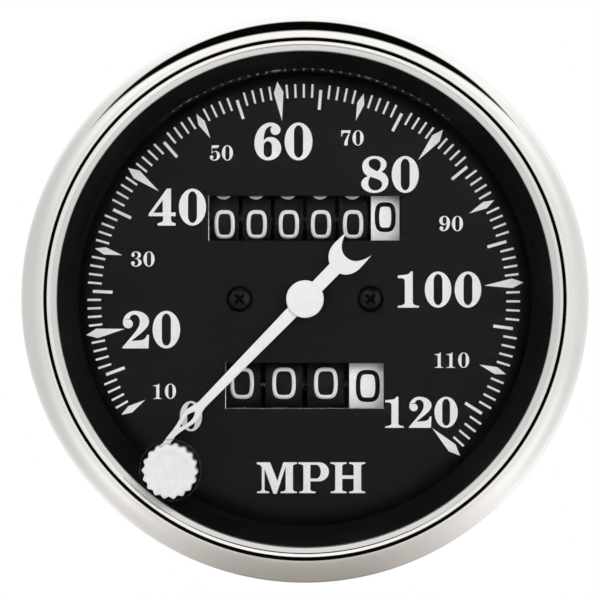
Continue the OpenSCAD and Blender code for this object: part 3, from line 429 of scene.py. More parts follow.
BLUED_STEEL = finish("blued_steel", grey(0.004), grey(0.008), 0.6, (0.35, 0.5), relief=0.004, shine=0.3)
print("finishes by slot:", len(FINISHES))


# %% [markdown]
# ## Chrome and glass
#
# Chrome needs a colour, a near perfect polish and something to mirror. The groove between the broad band and
# the bead of the bezel is laid over with near black, a painted shade that stands for the shadow down in the
# groove, and the land beside the glass is satin. The material masks both rings by their distance from the
# axis: a separate black ring would fight with the chrome for the same few hundredths of a millimetre.
#
# Glass that bends light also blocks the lamps' shadow rays, which would leave the dial in the dark.
# Mixing in a transparent shader for those rays alone lets the light reach the dial while the eye still
# sees glass.

# %% The chrome of the bezel
GROOVE_MIDDLE = 41.86
GROOVE_HALF = 0.23
SATIN_LAND = (41.0, 40.88)


def axis_radius(tree):
    return add_node(tree, "ShaderNodeGroup", {}, node_tree=AXIS).outputs["Radius"]


def lay_over(tree, mask, colour, rough):
    """Lays a colour and a roughness over those of a surface, where the mask is one."""
    surface = tree.nodes["Principled BSDF"]
    for label, kind, value in (("Base Color", "RGBA", colour), ("Roughness", "FLOAT", rough)):
        below = surface.inputs[label].links[0].from_socket
        tree.links.new(mixed(tree, kind, mask, below, value), surface.inputs[label])


def make_chrome():
    material = finish("bezel_chrome", tone(0.95, 0.93, 0.90), tone(0.985, 0.965, 0.935), 14.0,
                      (0.015, 0.05), metal=1.0)
    tree = material.node_tree
    radius = axis_radius(tree)
    lay_over(tree, between(tree, radius, *SATIN_LAND), tone(0.80, 0.785, 0.76), rough=0.28)
    # Painted shade: near black over the groove ring stands for the shadow in the groove.
    lay_over(tree, reckon(tree, "COMPARE", radius, GROOVE_MIDDLE, GROOVE_HALF), grey(0.004), rough=0.5)
    return material


FINISHES["bezel_chrome"] = make_chrome()
print("chrome with", len(FINISHES["bezel_chrome"].node_tree.nodes), "nodes")

# %% [markdown]
# Two blacks have a gloss that changes from place to place. The dial's satin coat is real, but its fade
# towards the rim is painted shade: it stands for the wall keeping the light off the dial there. The wall is
# dull except for a polished chamfer at its foot, which mirrors the nearest marks as a row of dots along the
# top. Both steer the weight of a clear coat with a mask, and a mask is only a coordinate that has been
# squeezed between two limits.

# %% The two blacks with a changing gloss
DIAL_COAT = (0.38, 0.02)
RIM_SHADE_FADE = (33.6, 36.6)
FOOT_POLISH = (0.92, 0.80)
TOP_POLISH = (28.0, 32.0)


def make_dial_black():
    material = finish("satin_black_enamel", grey(0.002), grey(0.0032), 0.6, (0.42, 0.52), relief=0.003,
                      shine=0.0)
    tree = material.node_tree
    surface = tree.nodes["Principled BSDF"]
    surface.inputs["Coat Roughness"].default_value = 0.45
    # Painted shade: the coat weight fades towards the rim to darken the dial where the wall shades it.
    weight = between(tree, axis_radius(tree), *RIM_SHADE_FADE, *DIAL_COAT)
    tree.links.new(weight, surface.inputs["Coat Weight"])
    return material


def make_wall_black():
    material = finish("black_wall", grey(0.0012), grey(0.002), 1.5, (0.45, 0.6), shine=0.22)
    tree = material.node_tree
    surface = tree.nodes["Principled BSDF"]
    surface.inputs["Coat Roughness"].default_value = 0.04
    surface.inputs["Coat IOR"].default_value = 2.2
    parts = place_parts(tree)
    foot = between(tree, parts["Y"], *[(-DIAL_FRONT - level) * MM for level in FOOT_POLISH])
    top = between(tree, parts["Z"], *[height * MM for height in TOP_POLISH])
    tree.links.new(reckon(tree, "MULTIPLY", foot, top), surface.inputs["Coat Weight"])
    return material


FINISHES["dial_black"] = make_dial_black()
FINISHES["ring_black"] = make_wall_black()
print("blacks:", FINISHES["dial_black"].name, FINISHES["ring_black"].name)


# %% The glasses
def make_glass(name, colour, rough):
    material = finish(name, colour, grey(1.0), 8.0, rough)
    tree = material.node_tree
    surface = tree.nodes["Principled BSDF"]
    surface.inputs["Transmission Weight"].default_value = 1.0
    surface.inputs["IOR"].default_value = 1.45
    shadow = add_node(tree, "ShaderNodeLightPath", {}).outputs["Is Shadow Ray"]
    clear = add_node(tree, "ShaderNodeBsdfTransparent", {}).outputs[0]
    mix = add_node(tree, "ShaderNodeMixShader", {"Fac": shadow, 1: surface.outputs[0], 2: clear})
    tree.links.new(mix.outputs[0], tree.nodes["Material Output"].inputs["Surface"])
    return material


FINISHES["lens_glass"] = make_glass("clear_flat_glass", grey(0.985), (0.0, 0.004))
FINISHES["bulb_glass"] = make_glass("lamp_glass", tone(0.97, 0.95, 0.9), (0.0, 0.02))
print("glasses:", FINISHES["lens_glass"].name, FINISHES["bulb_glass"].name)

# %% Dress every construction piece in the finish of its slot
SLOTS = {part["node"]: part["material_slot"] for part in frame["record"]["subparts"]}
for node, piece in frame["nodes"].items():
    piece.data.materials.clear()
    piece.data.materials.append(FINISHES[SLOTS[node]])
for node in ("carry_plates", "carry_pinions", "carry_bars"):
    frame["nodes"][node].data.materials[0] = BLUED_STEEL
print("dressed:", len(SLOTS))

# %% [markdown]
# ## The dial plate
#
# The dial is a thin disc with two windows for the counters. A press leaves a small round edge at each cut.
# Only the edges that face the light from the right, the left edges of both windows and the lower edge of the
# trip window, are bare metal: a painted highlight line where the light catches them. Those edge faces are
# picked by their slant and get a second material.

# %% Cut the dial plate and bare its lit window edges, a painted highlight
DIAL_SHEET = 0.8
CUT_EDGE = 0.22
ODOMETER_WINDOW = (31.0, 7.2)
TRIP_WINDOW = (25.5, 7.25)
STAFF_HOLE = 2.0
STEM_HOLE = 2.0
ODOMETER_Z = middle("odometer_drum_1").z
TRIP_Z = middle("trip_drum_1").z
LIT_EDGE_SLANT = (-0.97, -0.1)
LIT_EDGE_LEAN = 0.2
WINDOW_BAND = (8, 18)
LEFT_ENDS = -12
TRIP_FLOOR = -17
TRIP_REACH = 13
knob_place = middle("reset_knob")


def disc(x, y, radius):
    start = (x - radius, y)
    return [start, ("v", x, y + radius), ("h", x + radius, y), ("v", x, y - radius), ("h", *start)]


def opening(y, width, height):
    left, right, low, high = -width / 2, width / 2, y - height / 2, y + height / 2
    return [(left, low), (left, high), (right, high), (right, low), (left, low)]


blank = sheet_of("dial_disc", smoothness=24)
draw(blank, disc(0, 0, right_reach("dial_plate")))
draw(blank, disc(0, 0, STAFF_HOLE))
draw(blank, disc(knob_place.x, knob_place.z, STEM_HOLE))
draw(blank, opening(ODOMETER_Z, *ODOMETER_WINDOW))
draw(blank, opening(TRIP_Z, *TRIP_WINDOW))
dial = soften(stamp(blank, DIAL_FRONT - DIAL_SHEET, DIAL_SHEET, CUT_EDGE))
hand_over(dial, FINISHES["dial_black"], "housing", "dial_black", "dial_plate")
dial.data.materials.append(FINISHES["steel"])
bare = 0
# Painted highlight: only the window edges facing the light from the right get bare steel.
for face in dial.data.polygons:
    spot = face.center / MM
    at_window = WINDOW_BAND[0] < abs(spot.z) < WINDOW_BAND[1]
    left_edge = face.normal.x > LIT_EDGE_LEAN and spot.x < LEFT_ENDS and at_window
    low_edge = face.normal.z > LIT_EDGE_LEAN and spot.z < TRIP_FLOOR and abs(spot.x) < TRIP_REACH
    if LIT_EDGE_SLANT[0] < face.normal.y < LIT_EDGE_SLANT[1] and (left_edge or low_edge):
        face.material_index = 1
        bare += 1
print("bare edge faces:", bare)

# %% [markdown]
# ## The black wall
#
# Between the glass and the dial stands a black ring whose wall slopes in. It is dull, so that lamps don't
# shine in it. A flatter chamfer at its foot leans just enough to mirror the ends of the white marks. Its
# edge stays crisp: were the shading smoothed across it, the mirrored marks would blur away.

# %% Turn the wall ring
WALL_FOOT = 36.75
WALL_TOP = 40.1
CHAMFER_WIDTH = 0.67
CHAMFER_HEIGHT = 0.8
CRISP = 3
LENS_BACK = front_level("spacer_ring")
RING_RADIUS = right_reach("spacer_ring")
wall_profile = [(WALL_FOOT, DIAL_FRONT), (WALL_FOOT + CHAMFER_WIDTH, DIAL_FRONT + CHAMFER_HEIGHT),
                (WALL_TOP, LENS_BACK), (RING_RADIUS, LENS_BACK), (RING_RADIUS, DIAL_FRONT),
                (WALL_FOOT, DIAL_FRONT)]
wall = soften(turned("wall_ring", wall_profile, steps=512), CRISP)
hand_over(wall, FINISHES["ring_black"], "housing", "ring_black", "spacer_ring")

# %% [markdown]
# ## The numerals
#
# The dial's numbers are a heavy slab serif with round ball ends, a style that sign writers used for a
# century. Each numeral is an outline one unit high. The thin and thick strokes matter more than the exact
# curve: a bold stem against a hairline is what the eye recognises from across a car.
#
# A nine is a six turned round, so only the six is drawn.

# %% Outlines of the numerals, one unit high
ZERO = [[(0, 0.5), ("v", 0.37, 1), ("h", 0.74, 0.5), ("v", 0.37, 0), ("h", 0, 0.5)],
        [(0.26, 0.27), (0.26, 0.73), ("v", 0.37, 0.91), ("h", 0.48, 0.73), (0.48, 0.27),
         ("v", 0.37, 0.09), ("h", 0.26, 0.27)]]
ONE = [[(0, 0), (0, 0.07), ("h", 0.19, 0.15), (0.19, 0.73), ("v", 0.11, 0.80), (0, 0.80), (0, 0.89),
        (0.2, 0.91), ("h", 0.34, 1), (0.425, 1), (0.425, 0.15), ("v", 0.595, 0.07), (0.595, 0), (0, 0)]]
TWO = [[(0, 0), (0, 0.04), (0.33, 0.435), ("c", 0.42, 0.55, 0.455, 0.62, 0.455, 0.72),
        ("v", 0.325, 0.885), ("h", 0.215, 0.80), ("c", 0.215, 0.785, 0.2, 0.776, 0.178, 0.776),
        ("h", 0.292, 0.65), ("v", 0.165, 0.522), ("h", 0.013, 0.68), ("v", 0.335, 1), ("h", 0.717, 0.715),
        ("c", 0.717, 0.60, 0.62, 0.50, 0.5, 0.40), (0.27, 0.215), (0.42, 0.225),
        ("c", 0.55, 0.235, 0.61, 0.25, 0.645, 0.375), (0.717, 0.375), (0.70, 0), (0, 0)]]
THREE = [[(0.02, 0.73), ("v", 0.33, 1), ("h", 0.655, 0.76), ("c", 0.655, 0.64, 0.58, 0.56, 0.47, 0.535),
          ("c", 0.61, 0.50, 0.70, 0.41, 0.70, 0.275), ("v", 0.33, 0), ("h", 0, 0.25), ("v", 0.145, 0.38),
          ("h", 0.28, 0.25), ("c", 0.28, 0.19, 0.25, 0.16, 0.22, 0.145),
          ("c", 0.24, 0.115, 0.28, 0.10, 0.32, 0.10), ("h", 0.455, 0.285), ("v", 0.29, 0.49),
          (0.24, 0.49), (0.24, 0.56), (0.29, 0.56), ("h", 0.43, 0.74), ("v", 0.32, 0.90),
          ("c", 0.28, 0.90, 0.24, 0.885, 0.22, 0.855), ("c", 0.25, 0.84, 0.275, 0.79, 0.275, 0.735),
          ("v", 0.145, 0.61), ("h", 0.02, 0.73)]]
FOUR = [[(0, 0.32), (0.49, 1), (0.615, 1), (0.615, 0.365), (0.735, 0.375), (0.735, 0.245), (0.615, 0.255),
         (0.615, 0.16), ("v", 0.735, 0.085), (0.735, 0), (0.24, 0), (0.24, 0.085), ("h", 0.385, 0.16),
         (0.385, 0.25), (0, 0.25), (0, 0.32)],
        [(0.375, 0.66), (0.155, 0.362), (0.375, 0.362), (0.375, 0.66)]]
FIVE = [[(0.11, 0.45), (0.13, 1), (0.64, 1), ("c", 0.63, 0.87, 0.54, 0.78, 0.42, 0.78), (0.205, 0.78),
         (0.195, 0.58), ("c", 0.25, 0.63, 0.31, 0.65, 0.38, 0.65), ("h", 0.68, 0.325), ("v", 0.33, 0),
         ("h", 0, 0.24), ("v", 0.14, 0.37), ("h", 0.27, 0.24), ("c", 0.27, 0.18, 0.24, 0.155, 0.2, 0.14),
         ("c", 0.22, 0.11, 0.27, 0.10, 0.31, 0.10), ("h", 0.45, 0.33), ("v", 0.34, 0.56),
         ("c", 0.27, 0.56, 0.23, 0.52, 0.2, 0.45), (0.11, 0.45)]]
SIX = [[(0, 0.445), ("v", 0.43, 1), ("h", 0.695, 0.80), ("v", 0.555, 0.66), ("h", 0.42, 0.79),
        ("c", 0.42, 0.83, 0.43, 0.86, 0.45, 0.885), ("c", 0.36, 0.895, 0.265, 0.80, 0.26, 0.545),
        ("c", 0.30, 0.60, 0.36, 0.625, 0.435, 0.625), ("h", 0.715, 0.315), ("v", 0.36, 0),
        ("h", 0, 0.445)],
       [(0.26, 0.22), (0.26, 0.38), ("v", 0.357, 0.50), ("h", 0.455, 0.38), (0.455, 0.22),
        ("v", 0.357, 0.10), ("h", 0.26, 0.22)]]
SEVEN = [[(0.03, 0.57), (0.05, 1), (0.665, 1), (0.665, 0.93), ("c", 0.56, 0.62, 0.475, 0.4, 0.475, 0.06),
          ("c", 0.475, -0.02, 0.215, -0.02, 0.215, 0.06), ("c", 0.215, 0.33, 0.4, 0.6, 0.5, 0.77),
          ("c", 0.44, 0.80, 0.36, 0.81, 0.29, 0.80), ("c", 0.19, 0.79, 0.13, 0.72, 0.11, 0.57),
          (0.03, 0.57)]]
EIGHT = [[(0.027, 0.72), ("v", 0.36, 1), ("h", 0.69, 0.775), ("c", 0.69, 0.68, 0.64, 0.62, 0.565, 0.575),
          ("c", 0.67, 0.53, 0.738, 0.43, 0.738, 0.30), ("v", 0.36, 0), ("h", 0, 0.25),
          ("c", 0, 0.34, 0.06, 0.41, 0.165, 0.455), ("c", 0.07, 0.52, 0.027, 0.60, 0.027, 0.72)],
         [(0.215, 0.80), ("c", 0.215, 0.87, 0.28, 0.91, 0.37, 0.91), ("h", 0.52, 0.765),
          ("c", 0.52, 0.70, 0.49, 0.64, 0.43, 0.595), ("c", 0.29, 0.66, 0.215, 0.70, 0.215, 0.80)],
         [(0.205, 0.255), ("c", 0.205, 0.33, 0.22, 0.38, 0.26, 0.43),
          ("c", 0.40, 0.375, 0.555, 0.36, 0.555, 0.245), ("v", 0.38, 0.085), ("h", 0.205, 0.255)]]


def half_turn(outlines, width):
    """Turns outlines round their middle by half a turn."""
    flipped = []
    for path in outlines:
        steps = []
        for step in path:
            kind, numbers = read_step(step)
            spots = [(width if i % 2 == 0 else 1) - n for i, n in enumerate(numbers)]
            steps.append(tuple(spots) if kind == "line" else (kind, *spots))
        flipped.append(steps)
    return flipped


NINE = half_turn(SIX, 0.715)
NUMERALS = {
    "0": (ZERO, 0.74), "1": (ONE, 0.66), "2": (TWO, 0.717), "3": (THREE, 0.70), "4": (FOUR, 0.735),
    "5": (FIVE, 0.68), "6": (SIX, 0.715), "7": (SEVEN, 0.665), "8": (EIGHT, 0.738), "9": (NINE, 0.715)}
LETTER_GAP = 0.07


def write_number(sheet, text, centre, height, stretch=1.0):
    """Sets a number with its middle on a centre, in millimetres."""
    width = sum(NUMERALS[mark][1] for mark in text) + LETTER_GAP * (len(text) - 1)
    x = centre[0] - width * height * stretch / 2
    for mark in text:
        outlines, advance = NUMERALS[mark]
        for path in outlines:
            draw(sheet, path, height, (x, centre[1] - height / 2), stretch)
        x += (advance + LETTER_GAP) * height * stretch


print("numerals drawn:", len(NUMERALS))

# %% [markdown]
# ## Printing the dial
#
# The numbers stand upright at the given places, as on the real dial, and the small ones are wedged between.
# Ink has a thickness of a few hundredths of a millimetre. It is a real thin solid here and not a picture on
# the plate, so its edges stay sharp in a close view.

# %% Set the numbers on the dial
INK = 0.03
INK_SHRINK = 0.06
LARGE_NUMBERS = [("20", (-24.9, -4.95), 6.2, 1.0), ("40", (-20.68, 14.9), 6.1, 1.0),
                 ("60", (-3.49, 25.54), 6.25, 1.0), ("80", (13.79, 20.19), 6.1, 1.0),
                 ("100", (21.81, 1.54), 5.98, 1.0), ("120", (18.89, -18.34), 5.15, 1.02),
                 ("0", (-18.46, -18.97), 5.03, 1.0)]
SMALL_NUMBERS = [("10", (-22.74, -14.94)), ("30", (-26.27, 6.49)), ("50", (-13.54, 23.68)),
                 ("70", (7.65, 26.11)), ("90", (23.69, 12.24)), ("110", (23.82, -9.89))]
SMALL_HEIGHT = 2.6
numbers = sheet_of("dial_numbers")
for text, centre, height, stretch in LARGE_NUMBERS:
    write_number(numbers, text, centre, height, stretch)
for text, centre in SMALL_NUMBERS:
    write_number(numbers, text, centre, SMALL_HEIGHT)
dial_numbers = stamp(numbers, DIAL_FRONT, INK, shrink=INK_SHRINK)
hand_over(dial_numbers, PRINT_WHITE, "housing", "pointer_white")

# %% Set the letters for miles per hour
LETTER_M = [(0.01, 0), (0.01, 0.07), ("h", 0.159, 0.13), (0.159, 0.80), ("v", 0, 0.92), (0, 1), (0.44, 1),
            (0.665, 0.43), (0.845, 1), (1.295, 1), (1.295, 0.925), ("h", 1.17, 0.86), (1.17, 0.13),
            ("v", 1.295, 0.07), (1.295, 0), (0.756, 0), (0.756, 0.07), ("h", 0.915, 0.13), (0.915, 0.78),
            (0.65, -0.02), (0.53, -0.02), (0.268, 0.72), (0.268, 0.13), ("v", 0.415, 0.07), (0.415, 0),
            (0.01, 0)]
LETTER_P = [(1.35, 0), (1.35, 0.07), ("h", 1.476, 0.13), (1.476, 0.86), ("v", 1.32, 0.925), (1.32, 1),
            (1.98, 1), ("h", 2.31, 0.69), ("v", 1.98, 0.375), (1.72, 0.375), (1.72, 0.13),
            ("v", 1.89, 0.07), (1.89, 0), (1.35, 0)]
BOWL_P = [(1.72, 0.90), (1.90, 0.90), ("h", 2.03, 0.69), ("v", 1.90, 0.485), (1.72, 0.485), (1.72, 0.90)]
LETTER_H = [(2.34, 0), (2.34, 0.07), ("h", 2.488, 0.13), (2.488, 0.87), ("v", 2.34, 0.93), (2.34, 1),
            (2.866, 1), (2.866, 0.93), ("h", 2.73, 0.87), (2.73, 0.585), (3.073, 0.585), (3.073, 0.87),
            ("v", 2.927, 0.93), (2.927, 1), (3.463, 1), (3.463, 0.93), ("h", 3.33, 0.87), (3.33, 0.13),
            ("v", 3.463, 0.07), (3.463, 0), (2.927, 0), (2.927, 0.07), ("h", 3.073, 0.13), (3.073, 0.455),
            (2.73, 0.455), (2.73, 0.13), ("v", 2.866, 0.07), (2.866, 0), (2.34, 0)]
UNIT_HEIGHT = 5.11
UNIT_CORNER = (-7.86, -31.5)
unit = sheet_of("dial_unit")
for path in (LETTER_M, LETTER_P, BOWL_P, LETTER_H):
    draw(unit, path, UNIT_HEIGHT, UNIT_CORNER)
dial_unit = stamp(unit, DIAL_FRONT, INK, shrink=INK_SHRINK)
hand_over(dial_unit, PRINT_WHITE, "housing", "pointer_white")

# %% [markdown]
# The scale isn't even: the hand rests on a stop at zero, so the first ten miles per hour take only 14
# degrees and have no marks between, and the mark at zero lies under the hand. From ten to a hundred the
# marks are even, and above that a little wider.
#
# A mark is drawn along its own spoke. Long kites stand at every twenty, short ones at the tens between.

# %% Rule the scale
SCALE = [(0, 223.7), (10, 237.9), (100, 445.3), (120, 494.8)]
LONG_KITE = (29.35, 33.9, 35.7, 1.56)
SHORT_KITE = (30.3, 33.2, 34.9, 1.2)
LONG_BAR = (31.0, 34.2, 0.48)
SHORT_BAR = (32.85, 35.05, 0.34)


def scale_angle(speed):
    """Clockwise angle from the top of the dial for a speed, in radians."""
    for (low, start), (high, end) in zip(SCALE, SCALE[1:]):
        if speed <= high:
            return radians(start + (end - start) * (speed - low) / (high - low))
    return radians(SCALE[-1][1])


def on_spoke(points, angle):
    """A closed path of straight lines through points given as sideways and outward distances."""
    spots = [(x * cos(angle) + y * sin(angle), y * cos(angle) - x * sin(angle)) for x, y in points]
    return spots + spots[:1]


def kite(inner, wide, outer, width):
    return [(0, inner), (width / 2, wide), (0, outer), (-width / 2, wide)]


def bar(inner, outer, width):
    return [(-width / 2, inner), (width / 2, inner), (width / 2, outer), (-width / 2, outer)]


PRINT_SHIFT = (-0.2, -0.22)
marks = sheet_of("dial_marks")
for speed in [0] + list(range(10, 121)):
    if speed % 20 == 0:
        shape = kite(*LONG_KITE)
    elif speed % 10 == 0:
        shape = kite(*SHORT_KITE)
    elif speed % 5 == 0:
        shape = bar(*LONG_BAR)
    else:
        shape = bar(*SHORT_BAR)
    draw(marks, on_spoke(shape, scale_angle(speed)), shift=PRINT_SHIFT)
dial_marks = stamp(marks, DIAL_FRONT, INK)
hand_over(dial_marks, PRINT_WHITE, "housing", "pointer_white")

# %% [markdown]
# ## The pointer
#
# The pointer is stamped from thin sheet and painted matt white: a tapered blade, an open lozenge near the
# tip so that the number below stays readable, and a crescent as its counterweight. It is drawn pointing
# up, cut out of sheet with softened edges, and turned to the stop. The hub is a turned cap that covers
# the joint.

# %% Cut the pointer and its hub cap
REST_ANGLE = 224.3
HALF_POINTER = [(0, -9.5), ("c", -1.5, -9.5, -2.4, -10.8, -2.75, -12.6),
                ("c", -2.83, -11.8, -2.9, -10.9, -2.9, -9.8), ("c", -2.9, -8.2, -1.95, -7.2, -1.13, -6.9),
                (-1.08, 0), (-0.70, 23.6), ("c", -0.72, 24.6, -1.2, 25.4, -1.2, 26.4),
                ("c", -1.2, 27.6, -0.75, 28.3, -0.54, 30.0), ("c", -0.46, 30.7, -0.30, 33.0, 0, 33.0)]
HALF_WINDOW = [(0, 25.4), ("c", -0.22, 25.9, -0.52, 26.2, -0.52, 26.9),
               ("c", -0.52, 27.7, -0.24, 28.5, 0, 29.0)]


def both_halves(half):
    """Closes a left-hand half outline with its mirror image."""
    ends = [Vector(step[-2:]) for step in half]
    path = list(half)
    for number in range(len(half) - 1, 0, -1):
        kind, numbers = read_step(half[number])
        goal = ends[number - 1]
        if kind == "c":
            path.append(("c", -numbers[2], numbers[3], -numbers[0], numbers[1], -goal.x, goal.y))
        else:
            path.append((-goal.x, goal.y))
    return path


HUB_TOP = front_level("pointer")
HUB_RADIUS = 3.04
HUB_RAISE = 0.4
HUB_ROUND = 0.15
BLADE = 0.6
BLADE_EDGE = 0.08
BLADE_BACK = HUB_TOP - HUB_RAISE - BLADE
pointer_sheet = sheet_of("pointer_plate")
draw(pointer_sheet, both_halves(HALF_POINTER))
draw(pointer_sheet, both_halves(HALF_WINDOW))
blade = stamp(pointer_sheet, BLADE_BACK, BLADE, BLADE_EDGE, radians(REST_ANGLE))
cap_profile = [(0, HUB_TOP), (HUB_RADIUS - HUB_ROUND, HUB_TOP), ("h", HUB_RADIUS, HUB_TOP - HUB_ROUND),
               (HUB_RADIUS, BLADE_BACK), (0, BLADE_BACK)]
cap = turned("pointer_cap", cap_profile, steps=96, smoothness=6, closed=False)
pointer = soften(join([blade, cap], "pointer_hand"))
hand_over(pointer, FINISHES["pointer_white"], "pointer_group", "pointer_white", "pointer")

# %% [markdown]
# ## The bezel
#
# The bezel is a pressed and plated ring. Its section is drawn once, as radius against level, and turned
# round the axis with the spin tool: a broad quarter round outside, a painted groove, and a small bead
# that steps down to a land beside the glass. A chain of bevelled cylinders could stand in for it, but
# mirror chrome shows every flat, and a turned quarter ellipse has none.

# %% Turn the bezel
LENS_RADIUS = right_reach("lens_glass")
LENS_FRONT = front_level("lens_glass")
BEZEL_TOP = front_level("bezel_ring")
BAND = 3.55
EDGE = 0.08
FOOT_ROUND = 0.4
BAND_INNER = 42.1
BEAD_OUTER = 41.62
OPENING = 40.0
GROOVE_FLOOR = 6.3
SEAT = LENS_RADIUS + 0.15
LIP = 43.15
LIP_SHEET = 0.8
BEAD = [(BEAD_OUTER, 7.5), ("v", BEAD_OUTER - 0.1, 7.58), ("c", 41.4, 7.57, 41.2, 7.55, 41.07, 7.51),
        ("c", 41.02, 7.49, 40.97, 7.42, 40.91, 7.38), ("c", 40.7, 7.35, 40.4, 7.3, 40.14, 7.24),
        ("c", 40.06, 7.22, OPENING, 7.15, OPENING, 7.05)]
bezel_profile = [(LIP, 0), (BEZEL_RADIUS - FOOT_ROUND, 0), ("h", BEZEL_RADIUS, FOOT_ROUND),
                 (BEZEL_RADIUS, BEZEL_TOP - BAND), ("v", BEZEL_RADIUS - BAND, BEZEL_TOP),
                 ("h", BAND_INNER, BEZEL_TOP - EDGE), (BAND_INNER, GROOVE_FLOOR),
                 (BEAD_OUTER, GROOVE_FLOOR), *BEAD, (OPENING, LENS_FRONT), (SEAT, LENS_FRONT),
                 (SEAT, LIP_SHEET), (LIP, LIP_SHEET), (LIP, 0)]
bezel = turned("bezel_polished", bezel_profile, steps=256, smoothness=20)
hand_over(bezel, FINISHES["bezel_chrome"], "housing", "bezel_chrome", "bezel_ring")

# %% [markdown]
# ## The reset knob
#
# The trip counter is set back by a small moulded knob in front of the glass. It starts as a turned button
# with a dished face, and then its rim is swung in and out as a wave, eighteen times round. The wave fades
# towards the middle, so the face stays smooth. Cutting the flutes with a ring of cylinders would work
# too, but would leave sharp corners that a mould doesn't have.

# %% Mould the reset knob
KNOB_TEETH = 18
STEPS_PER_TOOTH = 12
KNOB_RADIUS = 4.3
KNOB_WAVE = 0.19
TOOTH_ANGLE = radians(-2)
KNOB_LOW = back_level("reset_knob")
KNOB_TOP = front_level("reset_knob")
KNOB_FOOT = 0.2
KNOB_ROUND = 0.4
RIM = KNOB_RADIUS - 0.95
DISH_TOP = KNOB_TOP - 0.15
knob_profile = [(0, KNOB_LOW), (KNOB_RADIUS - KNOB_FOOT, KNOB_LOW),
                ("h", KNOB_RADIUS, KNOB_LOW + KNOB_FOOT), (KNOB_RADIUS, KNOB_TOP - KNOB_ROUND),
                ("v", KNOB_RADIUS - KNOB_ROUND, KNOB_TOP), (RIM, KNOB_TOP),
                ("c", RIM - 0.3, KNOB_TOP, RIM - 0.4, KNOB_TOP - 0.12, RIM - 0.7, DISH_TOP),
                (0, KNOB_TOP - 0.2)]
knob = turned("knob_grip", knob_profile, steps=STEPS_PER_TOOTH * KNOB_TEETH, smoothness=6,
              centre=(knob_place.x, knob_place.z), closed=False)
for vertex in knob.data.vertices:
    x = vertex.co.x / MM - knob_place.x
    z = vertex.co.z / MM - knob_place.z
    share = max(0.0, hypot(x, z) - RIM) / (KNOB_RADIUS - RIM)
    swing = 1 + share * KNOB_WAVE / KNOB_RADIUS * cos(KNOB_TEETH * (atan2(z, x) - TOOTH_ANGLE))
    vertex.co.x = (knob_place.x + x * swing) * MM
    vertex.co.z = (knob_place.z + z * swing) * MM
soften(knob, angle=50)
hand_over(knob, FINISHES["knob_white"], "reset_group", "knob_white", "reset_knob")

# %% [markdown]
# The knob's stem runs in a clear bush in the glass. It is turned with a hair of air behind its flange:
# two glass faces in the same place would leave the renderer guessing which one the light meets first.

# %% Turn the clear bush
AIR = 0.03
BUSH_BORE = 2.0
BUSH_BODY = 2.8
BUSH_FLANGE = half_size("lens_bush").x
BUSH_TOP = front_level("lens_bush")
BUSH_EDGE = 0.08
bush_profile = [(BUSH_BORE, LENS_BACK), (BUSH_BODY, LENS_BACK), (BUSH_BODY, LENS_FRONT + AIR),
                (BUSH_FLANGE, LENS_FRONT + AIR), (BUSH_FLANGE, BUSH_TOP - BUSH_EDGE),
                (BUSH_FLANGE - BUSH_EDGE, BUSH_TOP), (BUSH_BORE, BUSH_TOP), (BUSH_BORE, LENS_BACK)]
bush = turned("clear_bush", bush_profile, steps=96, smoothness=2, centre=(knob_place.x, knob_place.z))
hand_over(bush, FINISHES["lens_glass"], "housing", "lens_glass", "lens_bush")

# %% [markdown]
# ## The dial screws
#
# Two black screws hold the dial. Each head stands on a thin flat ring in unlit black, a painted contact
# shadow round the head. A head is turned as a low dome, and the cross recess is cut by a Boolean with a cross
# of two bars, the same tool that stamps a real one. The faces inside the recess get an unlit black, a painted
# shade. The second screw is a copy with its own mesh.

# %% Turn a screw head and cut its cross
HEAD_RADIUS = 1.8
HEAD_TOP = front_level("dial_screws")
SHADOW_RING_RADIUS = 2.15
SHADOW_RING_THICKNESS = 0.08
RECESS = 0.5
ARM_LENGTH = 2.1
ARM_WIDTH = 0.48
SCREW_X = right_reach("dial_screws") - HEAD_RADIUS
DOME_FOOT = DIAL_FRONT + 0.25
SHADOW_RING_TOP = DIAL_FRONT + SHADOW_RING_THICKNESS
# The flat ring round the foot of the head carries a painted contact shadow.
head_profile = [(0, HEAD_TOP), ("h", HEAD_RADIUS, DOME_FOOT), (HEAD_RADIUS, SHADOW_RING_TOP),
                (SHADOW_RING_RADIUS, SHADOW_RING_TOP), (SHADOW_RING_RADIUS, DIAL_FRONT), (0, DIAL_FRONT)]
head = turned("dial_screw_left", head_profile, steps=64, smoothness=8, closed=False)
arms = []
for turn in (pi / 4, -pi / 4):
    bpy.ops.mesh.primitive_cube_add(size=1)
    arm = bpy.context.object
    arm.scale = (ARM_LENGTH * MM, 2 * RECESS * MM, ARM_WIDTH * MM)
    arm.location.y = -HEAD_TOP * MM
    arm.rotation_euler.y = turn
    arms.append(apply_place(arm))
cross = join(arms, "cross_punch")
punch = head.modifiers.new("cross", "BOOLEAN")
punch.operation = "DIFFERENCE"
punch.solver = "EXACT"
punch.use_self = True
punch.object = cross
only(head)
bpy.ops.object.modifier_apply(modifier="cross")
bpy.data.objects.remove(cross)
soften(head, angle=40)
print("screw head with", len(head.data.polygons), "faces")

